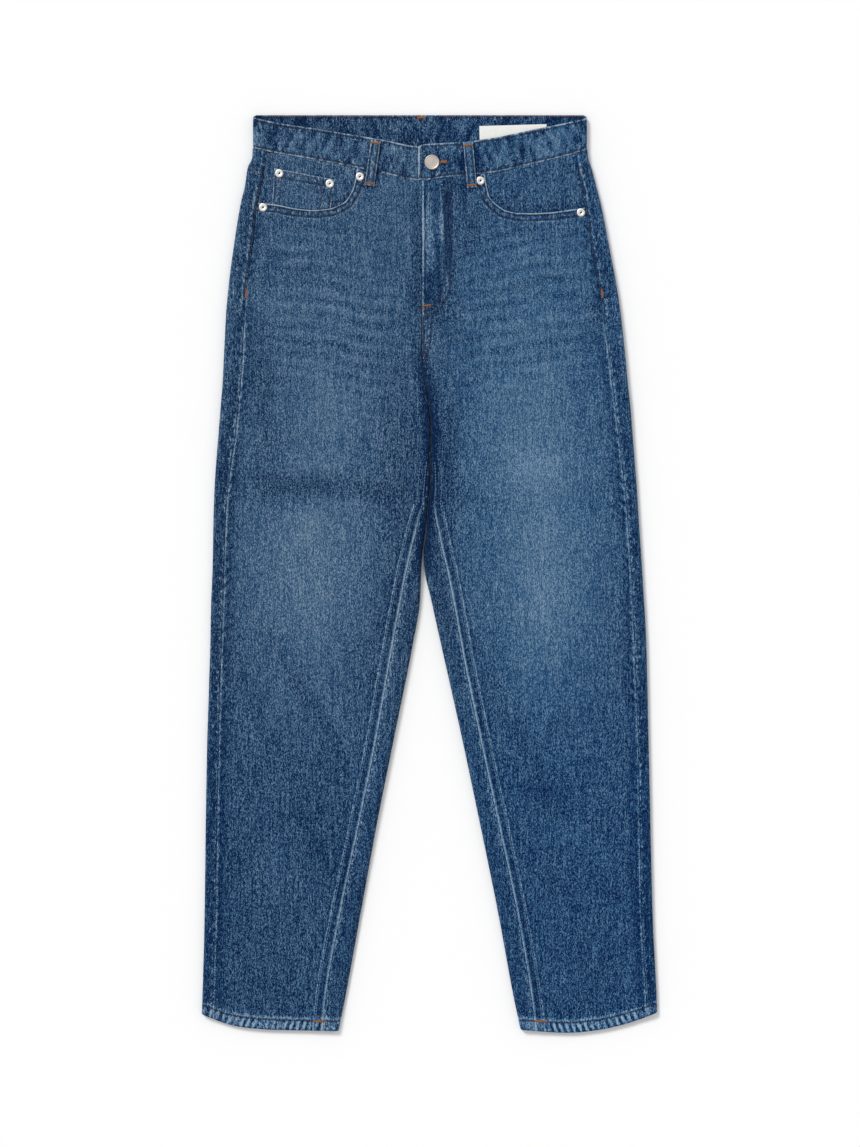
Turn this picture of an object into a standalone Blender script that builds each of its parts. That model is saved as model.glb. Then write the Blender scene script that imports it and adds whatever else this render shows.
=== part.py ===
"""High-waisted tapered jeans, laid flat on their back with the front up.

The middle line is X = 0, the waist is towards +Y, the front faces +Z and the underside rests on
Z = 0. Lengths in this file are millimetres, and MM turns them into metres. Left and right are the
left and right of the garment as it lies, seen from above. Each side is worked out in its own
terms: `out` is the distance from the middle line towards that side's outseam, and `down` is the
distance below the top edge of the back waistband. One leg is a flattened tube. A place on its
wall is `along`, which runs over the top from the outer fold, down round the inner edge, back
along the underside and up round the outer fold.
"""

from bisect import bisect_right
from collections import namedtuple
from math import cos, hypot, pi, sin

import bmesh
import bpy

MM = 0.001
LENGTH = 1037.0         # top edge of the back waistband to the lowest point of the hems
CLOTH = 1.1             # one layer of denim
HEM_CLOTH = 2.2         # turned hem
HEM_DEPTH = 12.0
BAND_CLOTH = 2.4        # waistband, folded and stiffened
SEAM_GAP = 0.3          # between pieces that are sewn edge to edge or lie on each other
BAND_GAP = 0.4          # between the waistband's lower edge and what hangs from it
LEG_GAP = 0.5           # between the two sides along the middle line

FOLD_REACH = 26.0       # how far the raised edge of a fold reaches inwards
CALM_EDGE = 20.0        # creases fade out over this width beside a fold
FELL_WIDTH = 11.6       # flat-felled inseam, on the front's side of the seam
FELL_STEP = 1.0
FELL_RISE = 0.6
FELL_FROM = (440.0, 470.0)

CENTRE_FRONT = 8.5      # the fly edge lies this far to the left of the middle line
VALLEY = (262.0, 330.0)         # the top sinks in between the legs over this stretch
UNDER_VALLEY = (296.0, 345.0)   # the same on the underside
CROTCH = 300.0                  # where the four leg seams meet
FRONT_DIP = (268.0, 292.0)      # the front's edge goes down into the valley
BACK_TURN = (290.0, 300.0)      # the back's edge leaves the underside
INSEAM_ON_TOP = 430.0           # the inseam has climbed back on to the top
SEAM_DEPTH = 0.78               # how deep the crotch point lies in the valley, of its wall

FLY_WIDTH = 34.0
FLY_RETURN = 9.0
FLY_LIFT = 1.4
FLY_LAP = 8.0
FLY_END = (205.0, 235.0)
LAP_END = (188.0, 203.0)

Leg = namedtuple("Leg", "down outer outseam inner inseam")
LEGS = {
    "left": [
        Leg(30, 199.5, 182, 8.5, 8.5), Leg(48, 200.5, 184, 8.5, 8.5), Leg(60, 205.6, 186, 8.5, 8.5),
        Leg(80, 208.7, 190, 8.5, 8.5), Leg(100, 213.5, 194, 8.5, 8.5), Leg(150, 221.5, 200, 8.5, 8.5),
        Leg(210, 228.9, 208, 8.5, 8.5), Leg(270, 232.4, 211, 8.5, 8.5), Leg(300, 233.8, 213, 5.0, 5.0),
        Leg(330, 236.2, 216, 0.2, 0.2), Leg(360, 238.6, 219, -1.7, -1.7),
        Leg(390, 241.0, 223.5, -1.3, -1.3),
        Leg(420, 242.9, 227, -0.4, 0.0), Leg(450, 244.1, 230, 2.3, 9.3), Leg(480, 244.8, 231, 5.3, 17.4),
        Leg(495, 245.0, 231.5, 7.0, 21.0), Leg(510, 245.3, 232, 8.3, 24.5),
        Leg(550, 246.9, 233, 10.5, 32.3),
        Leg(600, 247.9, 235, 18.9, 41.5), Leg(700, 251.1, 238, 38.9, 59.0),
        Leg(800, 253.1, 240, 58.9, 79.0),
        Leg(900, 254.3, 241.5, 77.2, 100.0), Leg(1000, 257.0, 245, 95.5, 117.4),
        Leg(1037, 258.0, 246, 103.0, 120.5),
    ],
    "right": [
        Leg(30, 178.0, 161, -8.5, -8.5), Leg(48, 179.5, 163, -8.5, -8.5), Leg(60, 183.2, 165.5, -8.5, -8.5),
        Leg(80, 188.3, 171, -8.5, -8.5), Leg(100, 193.5, 175, -8.5, -8.5),
        Leg(150, 203.5, 182.5, -8.5, -8.5),
        Leg(210, 214.2, 193.5, -8.5, -8.5), Leg(270, 221.3, 202.5, -8.5, -8.5),
        Leg(300, 223.9, 206, -5.0, -5.0),
        Leg(330, 227.2, 210, -0.2, -0.2), Leg(360, 229.6, 213.5, 1.7, 1.7), Leg(390, 232.0, 217, 1.3, 1.3),
        Leg(420, 234.4, 220.5, 0.4, 0.8), Leg(450, 236.3, 223.5, -2.3, 5.4),
        Leg(480, 238.2, 225.5, -5.3, 11.7),
        Leg(495, 239.3, 226.5, -7.0, 15.0), Leg(510, 240.2, 227.5, -6.3, 18.7),
        Leg(550, 242.7, 229.5, 2.2, 26.8),
        Leg(600, 245.3, 231.5, 13.2, 35.8), Leg(700, 247.7, 235.5, 35.5, 56.1),
        Leg(800, 249.9, 237.5, 56.6, 77.6),
        Leg(900, 252.2, 239.5, 77.0, 98.5), Leg(1000, 257.0, 245, 95.5, 115.5),
        Leg(1037, 258.0, 247, 103.5, 119.8),
    ],
}

# Heights of the lay: underside, edge of a fold, and the top between the folds.
Lay = namedtuple("Lay", "down under fold middle")
LAYS = [Lay(0, 1.4, 8.9, 7.9), Lay(60, 1.4, 8.9, 7.4), Lay(160, 1.4, 9.0, 7.2), Lay(320, 1.4, 9.0, 7.0),
        Lay(400, 0.0, 8.4, 5.9), Lay(700, 0.0, 8.0, 5.8), Lay(1000, 0.0, 7.4, 5.8), Lay(1037, 0.0, 7.2, 6.0)]

# Soft ridges and troughs of the top, by their middle, half sizes and turn in degrees.
Crease = namedtuple("Crease", "x down half_long half_wide turn rise")
CREASES = [
    Crease(-141, 424, 78, 22, -2, -1.3), Crease(-135, 392, 70, 22, 3, 0.9),
    Crease(-140, 458, 66, 24, -4, 0.9),
    Crease(146, 430, 74, 24, 8, -1.0), Crease(140, 396, 66, 24, 6, 0.8),
    Crease(150, 466, 66, 26, 9, 0.7),
    Crease(-150, 150, 62, 16, -7, 0.9), Crease(-128, 186, 70, 16, -4, -0.8),
    Crease(-140, 222, 66, 18, 2, 0.9),
    Crease(-120, 262, 70, 20, 8, -0.8), Crease(120, 158, 66, 16, 12, 0.9),
    Crease(112, 196, 72, 16, 15, -0.8),
    Crease(122, 234, 72, 18, 18, 1.0), Crease(104, 276, 66, 20, 20, -0.8),
    Crease(-150, 640, 60, 34, 6, -0.6), Crease(160, 700, 60, 36, -8, -0.6),
    Crease(-170, 860, 50, 40, 10, 0.6),
    Crease(175, 880, 50, 40, -12, 0.6),
]

# Upper and lower edge of the front waistband.
Band = namedtuple("Band", "out top bottom")
BANDS = {
    "left": [Band(-20, 36.0, 69.0), Band(11, 35.8, 74.0), Band(50, 28.9, 66.6), Band(91, 22.0, 58.2),
             Band(132, 15.3, 50.4), Band(173, 9.0, 43.3), Band(199, 3.4, 37.9)],
    "right": [Band(-13, 36.6, 74.0), Band(-6, 33.6, 74.0), Band(16, 32.3, 71.0), Band(37, 31.0, 69.0),
              Band(72, 26.3, 65.2), Band(112, 18.1, 56.6), Band(153, 9.6, 46.8), Band(178, 4.5, 40.0)],
}
BAND_HEIGHT = 36.0
BAND_SECTION = 20.0             # the band's own section is read at this height
BAND_TOP_BACK = 0.0
LAP = {"left": -20.0, "right": -13.0}       # the band's front end on each side
LAP_DROP = {"left": -1.25, "right": 1.5}    # the left end dips under the right one
LAP_ZONE = 50.0                 # the front end has closer columns within this distance of the middle
BAND_COLUMNS = (5, 6, 6, 8)     # underside, side fold, front and front end
LAP_RAMP = {"left": (14.0, 22.0), "right": (22.0, 36.0)}

# Pocket mouths, from the outseam to the waistband.
Mouth = namedtuple("Mouth", "out down")
MOUTHS = {
    "left": [Mouth(193.8, 99.6), Mouth(173.0, 101.5), Mouth(152.5, 105.7), Mouth(132.0, 107.7),
             Mouth(110.5, 105.6), Mouth(95.0, 98.0), Mouth(86.8, 84.4), Mouth(83.6, 72.0),
             Mouth(82.0, 60.3)],
    "right": [Mouth(175.6, 105.0), Mouth(162.0, 107.0), Mouth(140.0, 110.0), Mouth(119.0, 111.2),
              Mouth(98.9, 111.0), Mouth(85.0, 107.7), Mouth(74.0, 100.0), Mouth(67.2, 91.5),
              Mouth(62.0, 66.6)],
}
FACING_CLOTH = 1.0
FACING_UNDER = 14.0             # how far the facing goes on under the front
FACING_EDGE = 5.0
FACING_DROP = (0.4, CLOTH + SEAM_GAP)       # below the front's surface at the waist and at the mouth
FACING_PAST = 12.0
FACING_STEPS = 4
FACING_LEAST = 4.0              # least depth of the shown part, beside the mouth's upper end

COIN_TOP = (Mouth(175.2, 60.4), Mouth(106.8, 73.5))
COIN_FOOT = (178.0, 111.3)
COIN_CLOTH = 0.9
COIN_COLUMNS = 8
COIN_ROWS = (0.0, 0.45, 0.9, 1.0)

HEMS = {
    "left": [Mouth(101.0, 1035.0), Mouth(175.0, 1033.6), Mouth(202.0, 1031.7), Mouth(223.0, 1028.3),
             Mouth(257.2, 1016.0)],
    "right": [Mouth(102.0, 1033.6), Mouth(155.0, 1037.0), Mouth(188.0, 1034.0), Mouth(216.0, 1028.3),
              Mouth(234.5, 1022.7), Mouth(258.0, 1013.6)],
}
HEM_SECTION = 1020.0
# Rows of the hem: height above its edge, and the wall there.
HEM_ROWS = [(HEM_DEPTH + FELL_STEP, CLOTH), (HEM_DEPTH, HEM_CLOTH), (0.0, HEM_CLOTH)]

YOKE_SIDE = 61.5                # yoke seam at the sides and at the centre back
YOKE_MIDDLE = 100.0

# Heights of the rows that all panels share, and how the top stretch above them is divided.
ROWS = ([140, 160, 180, 200, 220, 240, 256, 268, 280, 290, 300, 312, 325, 340, 358, 376, 394, 410, 426, 442]
        + [458, 474, 495, 520, 550, 590, 640, 700, 770, 840, 910, 970])
TOP_STEPS = 4
OUTER_RUN = 10                  # columns between the outseam and the felled strip
FELL_STEPS = 3
BACK_EDGE = 12.0                # least width of the back's first columns
BACK_COLUMNS = (4, 4, 5, 2)     # inner edge, underside, outer fold and top

SIGN = {"left": -1.0, "right": 1.0}
SIDES = ("left", "right")

Rivet = namedtuple("Rivet", "name side out down seat")
RIVETS = [
    Rivet("rivet_left_outer", "left", 188.0, 104.8, "front"),
    Rivet("rivet_left_inner", "left", 78.5, 70.0, "front"),
    Rivet("rivet_coin_outer", "left", 169.6, 66.4, "coin"),
    Rivet("rivet_coin_inner", "left", 112.6, 78.0, "coin"),
    Rivet("rivet_right_outer", "right", 171.0, 110.6, "front"),
    Rivet("rivet_right_inner", "right", 57.6, 74.6, "front"),
]
RIVET_RADIUS = 4.65
BUTTON_RADIUS = 8.5
BUTTON_AT = (2.8, 54.2)         # X and down

Loop = namedtuple("Loop", "name x_top down_top x_foot down_foot")
FRONT_LOOPS = [Loop("belt_loop_front_left", -60.5, 29.6, -67.8, 80.4),
               Loop("belt_loop_front_right", 43.5, 32.0, 48.0, 82.6)]
BACK_LOOPS = [Loop("belt_loop_back_left", -184.0, 1.0, -184.0, 52.0),
              Loop("belt_loop_back_middle", -9.0, 1.0, -9.0, 52.0),
              Loop("belt_loop_back_right", 163.0, 1.0, 163.0, 52.0)]
LOOP_WIDTH = 11.0
LOOP_CLOTH = 1.4
LOOP_ARCH = 1.3
LOOP_STEPS = 8
LOOP_LANDS = 0.84               # from here on, as a share of its length, the loop comes down to the panel
UNDER_CLOTH = 1.05              # the thin pieces on the underside: back pockets and back loops

# Back pocket: half width and height below its top edge, down one side to the point.
PATCH = [(76.0, 0.0), (72.0, 118.0), (0.0, 148.0)]
PATCH_AT = {"left": (112.0, 150.0), "right": (104.0, 150.0)}

LABEL_SIZE = (76.0, 22.0, 1.0)
LABEL_AT = (94.6, 22.4)         # X and down of its middle
LABEL_TURN = 1.6                # degrees

ZIP_DOWN = (79.0, 186.0)
ZIP_ACROSS = (-4.0, 8.0, 10.0, 14.0, 16.0, 24.0)    # from the fly edge to the right
ZIP_CHAIN = (10.0, 14.0)
ZIP_CLOTH = 0.9
ZIP_RISE = 0.9
ZIP_STEPS = 4

DENIM = (0.070, 0.125, 0.205)
DENIM_DARK = (0.035, 0.075, 0.135)
DENIM_PALE = (0.110, 0.175, 0.260)
METAL = (0.62, 0.62, 0.60)
WHITE = (0.80, 0.80, 0.78)
TAPE = (0.03, 0.04, 0.07)


def smooth(value, start, end):
    """0 before start, 1 after end, and an even S between them."""
    t = min(max((value - start) / (end - start), 0.0), 1.0)
    return t * t * (3.0 - 2.0 * t)


def read(table, key, column, at):
    """Read one column of a table on a curve through its rows that doesn't overshoot them."""
    keys = [getattr(row, key) for row in table]
    values = [getattr(row, column) for row in table]
    at = min(max(at, keys[0]), keys[-1])
    i = min(bisect_right(keys, at) - 1, len(keys) - 2)
    chords = [(values[k + 1] - values[k]) / (keys[k + 1] - keys[k]) for k in range(len(keys) - 1)]

    def slope(k):
        if k == 0:
            return chords[0]
        if k == len(keys) - 1:
            return chords[-1]
        before, after = chords[k - 1], chords[k]
        return 0.0 if before * after <= 0.0 else 2.0 * before * after / (before + after)

    width = keys[i + 1] - keys[i]
    t = (at - keys[i]) / width
    return ((1 + 2 * t) * (1 - t) ** 2 * values[i] + t * (1 - t) ** 2 * width * slope(i)
            + t * t * (3 - 2 * t) * values[i + 1] + t * t * (t - 1) * width * slope(i + 1))


def creases(x, down):
    """Height that the soft ridges and troughs add to the top."""
    total = 0.0
    for crease in CREASES:
        angle = crease.turn * pi / 180.0
        dx, dy = x - crease.x, crease.down - down
        long = (dx * cos(angle) + dy * sin(angle)) / crease.half_long
        wide = (dy * cos(angle) - dx * sin(angle)) / crease.half_wide
        if abs(long) < 1.0 and abs(wide) < 1.0:
            total += crease.rise * (1.0 - long * long) ** 2 * (0.5 + 0.5 * cos(pi * wide))
    return total


class Section:
    """One leg's flattened tube, cut across at one height."""

    def __init__(self, side, down, reach=0.0):
        rows = LEGS[side]
        self.side = side
        self.down = down
        self.outer = read(rows, "down", "outer", down)
        self.inner = read(rows, "down", "inner", down) + LEG_GAP / 2 - reach
        self.outseam = read(rows, "down", "outseam", down)
        self.inseam = read(rows, "down", "inseam", down)
        self.under = read(LAYS, "down", "under", down)
        self.fold = read(LAYS, "down", "fold", down)
        self.middle = read(LAYS, "down", "middle", down)
        self.valley = smooth(down, *VALLEY)
        self.radius = (self.fold - self.under) / 2
        self.top_round = self.radius * self.valley
        self.under_round = self.radius * smooth(down, *UNDER_VALLEY)
        self.start = self.outer - self.radius
        self.inner_top = self.top(self.inner + self.top_round)
        wide = self.start - self.inner
        wall = self.inner_top - self.under - self.top_round - self.under_round
        turns = [pi / 2 * self.top_round, wall, pi / 2 * self.under_round]
        self.marks = [0.0]
        for length in [wide - self.top_round, *turns, wide - self.under_round, pi * self.radius]:
            self.marks.append(self.marks[-1] + length)

    def top(self, out):
        """Height of the top surface."""
        from_outer = self.outer - out
        from_inner = out - self.inner
        edge = 1.0 - smooth(from_outer, self.radius, FOLD_REACH)
        edge += self.valley * (1.0 - smooth(from_inner, self.radius, FOLD_REACH))
        calm = smooth(from_outer, self.radius, self.radius + CALM_EDGE)
        calm *= 1.0 - self.valley * (1.0 - smooth(from_inner, self.radius, self.radius + CALM_EDGE))
        soft = creases(SIGN[self.side] * out, self.down) * calm
        return self.middle + (self.fold - self.middle) * edge + soft

    def place(self, along, inset=0.0):
        """The out and height of a place on the wall, moved inwards by inset."""
        m = self.marks
        if along > m[6]:
            along -= m[6]
        if along <= m[1]:
            out = self.start - along
            return out, self.top(out) - inset
        if m[4] <= along <= m[5]:
            return self.inner + self.under_round + along - m[4], self.under + inset
        if along <= m[3]:
            turn = pi / 2 if self.top_round < 1e-6 else min((along - m[1]) / self.top_round, pi / 2)
            centre = max(self.top_round, inset)
            arm = centre - inset
            drop = max(along - m[2], 0.0)
            return self.inner + centre - arm * sin(turn), self.inner_top - centre + arm * cos(turn) - drop
        if along <= m[4]:
            turn = (along - m[3]) / self.under_round
            centre = max(self.under_round, inset)
            arm = centre - inset
            return self.inner + centre - arm * cos(turn), self.under + centre - arm * sin(turn)
        turn = (along - m[5]) / self.radius
        arm = self.radius - inset
        return self.start + arm * sin(turn), self.under + self.radius - arm * cos(turn)

    def seam(self):
        """Where the front's inner edge meets the back's, measured along the wall."""
        m = self.marks
        if self.down <= CROTCH:
            depth = smooth(self.down, *FRONT_DIP)
        else:
            depth = 1.0 - smooth(self.down, CROTCH, INSEAM_ON_TOP)
        return min(self.start - self.inseam, m[1]) + depth * SEAM_DEPTH * (m[4] - m[1])

    def front_columns(self):
        """Places of the front's columns, from the outseam to its inner edge."""
        first = self.start - self.outseam + SEAM_GAP / 2
        last = self.seam() - SEAM_GAP / 2
        strip = last - FELL_WIDTH
        step = strip - FELL_STEP
        columns = [first + (step - first) * i / OUTER_RUN for i in range(OUTER_RUN + 1)]
        return columns + [strip + FELL_WIDTH * i / FELL_STEPS for i in range(FELL_STEPS + 1)]

    def back_columns(self):
        """Places of the back's columns, from its inner edge round the underside to the outseam."""
        m = self.marks
        turn = smooth(self.down, *BACK_TURN)
        first = m[4] + turn * (self.seam() + SEAM_GAP / 2 - m[4])
        flat = max(m[4], first + BACK_EDGE)
        ends = [first, flat, m[5], m[6], m[6] + self.start - self.outseam - SEAM_GAP / 2]
        columns = [first]
        for start, end, count in zip(ends, ends[1:], BACK_COLUMNS):
            columns += [start + (end - start) * (i + 1) / count for i in range(count)]
        return columns


def spot(side, out, down, height):
    """A point of the part in metres."""
    return (SIGN[side] * out * MM, (LENGTH / 2 - down) * MM, height * MM)


def fly_lift(side, out, down):
    """The right front lies over the left one along the fly."""
    if side == "left":
        return 0.0
    across = 1.0 - smooth(out + CENTRE_FRONT, FLY_WIDTH, FLY_WIDTH + FLY_RETURN)
    return FLY_LIFT * across * (1.0 - smooth(down, *FLY_END))


def fly_lap(side, down):
    """How far the left front goes on under the right one."""
    return FLY_LAP * (1.0 - smooth(down, *LAP_END)) if side == "left" else 0.0


def make_object(name, mesh_data, colour, roughness=0.85, metallic=0.0, rounded=True):
    """Put a finished bmesh into the scene with its own material."""
    bmesh.ops.recalc_face_normals(mesh_data, faces=mesh_data.faces)
    mesh = bpy.data.meshes.new(name)
    mesh_data.to_mesh(mesh)
    mesh_data.free()
    if rounded:
        mesh.shade_smooth()
        mesh.set_sharp_from_angle(angle=0.6)
    material = bpy.data.materials.new(name)
    material.use_nodes = True
    shader = material.node_tree.nodes["Principled BSDF"]
    shader.inputs["Base Color"].default_value = (*colour, 1.0)
    shader.inputs["Roughness"].default_value = roughness
    shader.inputs["Metallic"].default_value = metallic
    mesh.materials.append(material)
    thing = bpy.data.objects.new(name, mesh)
    bpy.context.scene.collection.objects.link(thing)
    return thing


def wall(name, outer, inner, colour):
    """A closed wall between an outer and an inner grid of points, joined round the rim."""
    data = bmesh.new()
    grids = [[[data.verts.new(point) for point in row] for row in grid] for grid in (outer, inner)]
    rows, columns = len(outer), len(outer[0])
    for grid in grids:
        for i in range(rows - 1):
            for j in range(columns - 1):
                data.faces.new((grid[i][j], grid[i][j + 1], grid[i + 1][j + 1], grid[i + 1][j]))
    rim = [(0, j) for j in range(columns - 1)] + [(i, columns - 1) for i in range(rows - 1)]
    rim += [(rows - 1, j) for j in range(columns - 1, 0, -1)] + [(i, 0) for i in range(rows - 1, 0, -1)]
    for (i, j), (k, l) in zip(rim, rim[1:] + rim[:1]):
        data.faces.new((grids[0][i][j], grids[0][k][l], grids[1][k][l], grids[1][i][j]))
    return make_object(name, data, colour)


def turned(name, profile, centre, segments, colour, roughness=0.35, metallic=0.9):
    """A round piece from (radius, height) pairs; its first and last pair lie on the axis."""
    data = bmesh.new()

    def point(radius, height, turn):
        x, y, z = centre
        x, y = x + radius * cos(turn), y + radius * sin(turn)
        return data.verts.new((x * MM, y * MM, (z + height) * MM))

    ends = [point(*pair, 0.0) for pair in (profile[0], profile[-1])]
    rings = [[point(*pair, 2 * pi * k / segments) for k in range(segments)] for pair in profile[1:-1]]
    for k in range(segments):
        n = (k + 1) % segments
        data.faces.new((ends[0], rings[0][n], rings[0][k]))
        data.faces.new((ends[1], rings[-1][k], rings[-1][n]))
        for low, high in zip(rings, rings[1:]):
            data.faces.new((low[k], low[n], high[n], high[k]))
    return make_object(name, data, colour, roughness, metallic)


def hem_down(side, out, above):
    """The height that lies `above` the hem's edge."""
    return read(HEMS[side], "out", "down", out) - above


def front_top_edge(side):
    """The front's upper edge: round the pocket mouth, then along the waistband."""
    inner = -CENTRE_FRONT if side == "right" else CENTRE_FRONT
    inner += LEG_GAP / 2
    corner = MOUTHS[side][-1]
    strip = inner + FELL_WIDTH
    step = strip + FELL_STEP
    outs = [(corner.out + step) / 2, step]
    outs += [strip - FELL_WIDTH * i / FELL_STEPS for i in range(FELL_STEPS + 1)]
    edge = [(mouth.out, mouth.down) for mouth in MOUTHS[side]]
    edge[-1] = (corner.out, read(BANDS[side], "out", "bottom", corner.out) + BAND_GAP)
    return edge + [(out, read(BANDS[side], "out", "bottom", out) + BAND_GAP) for out in outs]


def front(side):
    """Front panel, from the pocket mouth and waistband to the hem."""
    outer, inner = [], []
    edge = front_top_edge(side)
    below = Section(side, ROWS[0], fly_lap(side, ROWS[0]))
    columns = below.front_columns()
    for step in range(TOP_STEPS):
        t = step / TOP_STEPS
        rows = [[], []]
        for j, (out_top, down_top) in enumerate(edge):
            down = down_top + (ROWS[0] - down_top) * t
            lap = fly_lap(side, down)
            section = Section(side, down, lap)
            out = out_top + (below.place(columns[j])[0] + fly_lap(side, ROWS[0]) - out_top) * t
            if j == 0:
                out = section.outseam - SEAM_GAP / 2
            if j > OUTER_RUN:
                out -= lap * (j - OUTER_RUN) / (FELL_STEPS + 1)
            height = section.top(out) + fly_lift(side, out, down)
            rows[0].append(spot(side, out, down, height))
            rows[1].append(spot(side, out, down, height - CLOTH))
        outer.append(rows[0])
        inner.append(rows[1])
    for kind, value, cloth in [("row", down, CLOTH) for down in ROWS] + [("hem", *row) for row in HEM_ROWS]:
        rows = [[], []]
        for j in range(len(edge)):
            down = value
            if kind == "hem":
                near = Section(side, HEM_SECTION)
                down = hem_down(side, near.place(near.front_columns()[j])[0], value)
            section = Section(side, down, fly_lap(side, down))
            along = section.front_columns()[j]
            raised = FELL_RISE * smooth(down, *FELL_FROM) if j > OUTER_RUN else 0.0
            for row, inset in zip(rows, (-raised, cloth)):
                out, height = section.place(along, inset)
                row.append(spot(side, out, down, height + fly_lift(side, out, down)))
        outer.append(rows[0])
        inner.append(rows[1])
    return wall("front_" + side, outer, inner, DENIM)


def yoke_seam(section, along):
    """Height of the yoke seam: level round the side, falling to the centre back."""
    m = section.marks
    if along >= m[5]:
        return YOKE_SIDE
    return YOKE_MIDDLE + (YOKE_SIDE - YOKE_MIDDLE) * smooth(along, m[4], m[5])


def back(side):
    """Back panel, from the yoke seam to the hem, round both folded edges of the leg."""
    outer, inner = [], []
    near = Section(side, YOKE_SIDE)
    seams = [yoke_seam(near, along) + SEAM_GAP for along in near.back_columns()]
    hem_near = Section(side, HEM_SECTION)
    hem_outs = [hem_near.place(along)[0] for along in hem_near.back_columns()]
    plan = []
    for step in range(TOP_STEPS):
        plan.append(([seam + (ROWS[0] - seam) * step / TOP_STEPS for seam in seams], CLOTH))
    plan += [([down] * len(seams), CLOTH) for down in ROWS]
    plan += [([hem_down(side, out, above) for out in hem_outs], cloth) for above, cloth in HEM_ROWS]
    for downs, cloth in plan:
        rows = [[], []]
        for j, down in enumerate(downs):
            section = Section(side, down)
            along = section.back_columns()[j]
            for row, inset in zip(rows, (0.0, cloth)):
                out, height = section.place(along, inset)
                row.append(spot(side, out, down, height))
        outer.append(rows[0])
        inner.append(rows[1])
    return wall("back_" + side, outer, inner, DENIM_DARK)


def band_edges(side, section, along):
    """Upper and lower edge of the waistband at a place on its wall."""
    m = section.marks
    out = min(section.start - (along - m[6]), section.start)
    front_edges = [read(BANDS[side], "out", edge, out) for edge in ("top", "bottom")]
    if along >= m[6]:
        return front_edges
    turn = max(along - m[5], 0.0) / (m[6] - m[5])
    return [a + (b - a) * turn for a, b in zip((BAND_TOP_BACK, BAND_TOP_BACK + BAND_HEIGHT), front_edges)]


def yoke(side):
    """Yoke of the back, which wraps round the outer fold up to the outseam."""
    near = Section(side, YOKE_SIDE)
    band_near = Section(side, BAND_SECTION)
    scale = band_near.marks[6] / near.marks[6]
    outer, inner = [], []
    for t in (0.0, 0.5, 1.0):
        rows = [[], []]
        for j, along in enumerate(near.back_columns()):
            top = band_edges(side, band_near, along * scale)[1] + BAND_GAP
            down = top + (yoke_seam(near, along) - top) * t
            section = Section(side, down)
            for row, inset in zip(rows, (0.0, CLOTH)):
                out, height = section.place(section.back_columns()[j], inset)
                row.append(spot(side, out, down, height))
        outer.append(rows[0])
        inner.append(rows[1])
    return wall("yoke_" + side, outer, inner, DENIM_DARK)


def waistband(side):
    """Half of the waistband: from the centre back round the side to its front end."""
    section = Section(side, BAND_SECTION)
    m = section.marks
    ends = [m[4], m[5], m[6], m[6] + section.start - LAP_ZONE, m[6] + section.start - LAP[side]]
    places = ends[:1]
    for start, finish, count in zip(ends, ends[1:], BAND_COLUMNS):
        places += [start + (finish - start) * (i + 1) / count for i in range(count)]
    outer, inner = [], []
    for along in places:
        edges = band_edges(side, section, along)
        rows = [[], []]
        for row, inset in zip(rows, (0.0, BAND_CLOTH)):
            if along < m[6]:
                out, height = section.place(along, inset)
            else:
                out = section.start - (along - m[6])
                height = section.top(out) + LAP_DROP[side] * (1.0 - smooth(out, *LAP_RAMP[side])) - inset
            row.extend(spot(side, out, down, height) for down in edges)
        outer.append(rows[0])
        inner.append(rows[1])
    return wall("waistband_" + side, outer, inner, DENIM_PALE)


def mouth_down(side, out):
    """Height of the pocket mouth, straight between the points of its table."""
    rows = MOUTHS[side][::-1]
    for a, b in zip(rows, rows[1:]):
        if out <= b.out:
            return a.down + (b.down - a.down) * (out - a.out) / (b.out - a.out)
    return rows[-1].down


def facing_top(side, out, down):
    """Height of the facing's surface in the pocket mouth."""
    seam = read(BANDS[side], "out", "bottom", out) + BAND_GAP
    edge = mouth_down(side, out) - FACING_EDGE
    steep = out < MOUTHS[side][5].out
    t = 1.0 if steep else min(max((down - seam) / (edge - seam), 0.0), 1.0)
    return Section(side, down).top(out) - FACING_DROP[0] - (FACING_DROP[1] - FACING_DROP[0]) * t


def pocket_facing(side):
    """Piece that shows in the pocket mouth and goes on under the front."""
    outs = [mouth.out for mouth in MOUTHS[side]] + [MOUTHS[side][-1].out - FACING_PAST]
    outer, inner = [], []
    for step in range(FACING_STEPS + 2):
        rows = [[], []]
        for j, out in enumerate(outs):
            waist_out = Section(side, YOKE_SIDE).outseam - FACING_EDGE if j == 0 else out
            seam = read(BANDS[side], "out", "bottom", waist_out) + BAND_GAP
            edge = mouth_down(side, max(out, MOUTHS[side][-1].out))
            shown = max(edge - FACING_EDGE, seam + FACING_LEAST)
            down = seam + (shown - seam) * step / FACING_STEPS
            if step > FACING_STEPS:
                down = max(edge, seam) + FACING_UNDER
            place = Section(side, down).outseam - SEAM_GAP if j == 0 else out
            height = facing_top(side, place, down)
            rows[0].append(spot(side, place, down, height))
            rows[1].append(spot(side, place, down, height - FACING_CLOTH))
        outer.append(rows[0])
        inner.append(rows[1])
    return wall("pocket_facing_" + side, outer, inner, DENIM)


def coin_pocket():
    """Small patch pocket on the left facing, open along its top."""
    outer, inner = [], []
    for t in COIN_ROWS:
        rows = [[], []]
        for j in range(COIN_COLUMNS + 1):
            s = j / COIN_COLUMNS
            out_top = COIN_TOP[0].out + (COIN_TOP[1].out - COIN_TOP[0].out) * s
            out_foot = COIN_FOOT[0] + (COIN_FOOT[1] - COIN_FOOT[0]) * s
            down_top = COIN_TOP[0].down + (COIN_TOP[1].down - COIN_TOP[0].down) * s
            down_foot = mouth_down("left", out_foot) - 2 * SEAM_GAP
            out = out_top + (out_foot - out_top) * t
            down = down_top + (down_foot - down_top) * t
            height = facing_top("left", out, down) + SEAM_GAP
            rows[0].append(spot("left", out, down, height + COIN_CLOTH))
            rows[1].append(spot("left", out, down, height))
        outer.append(rows[0])
        inner.append(rows[1])
    return wall("coin_pocket", outer, inner, DENIM)


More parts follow.
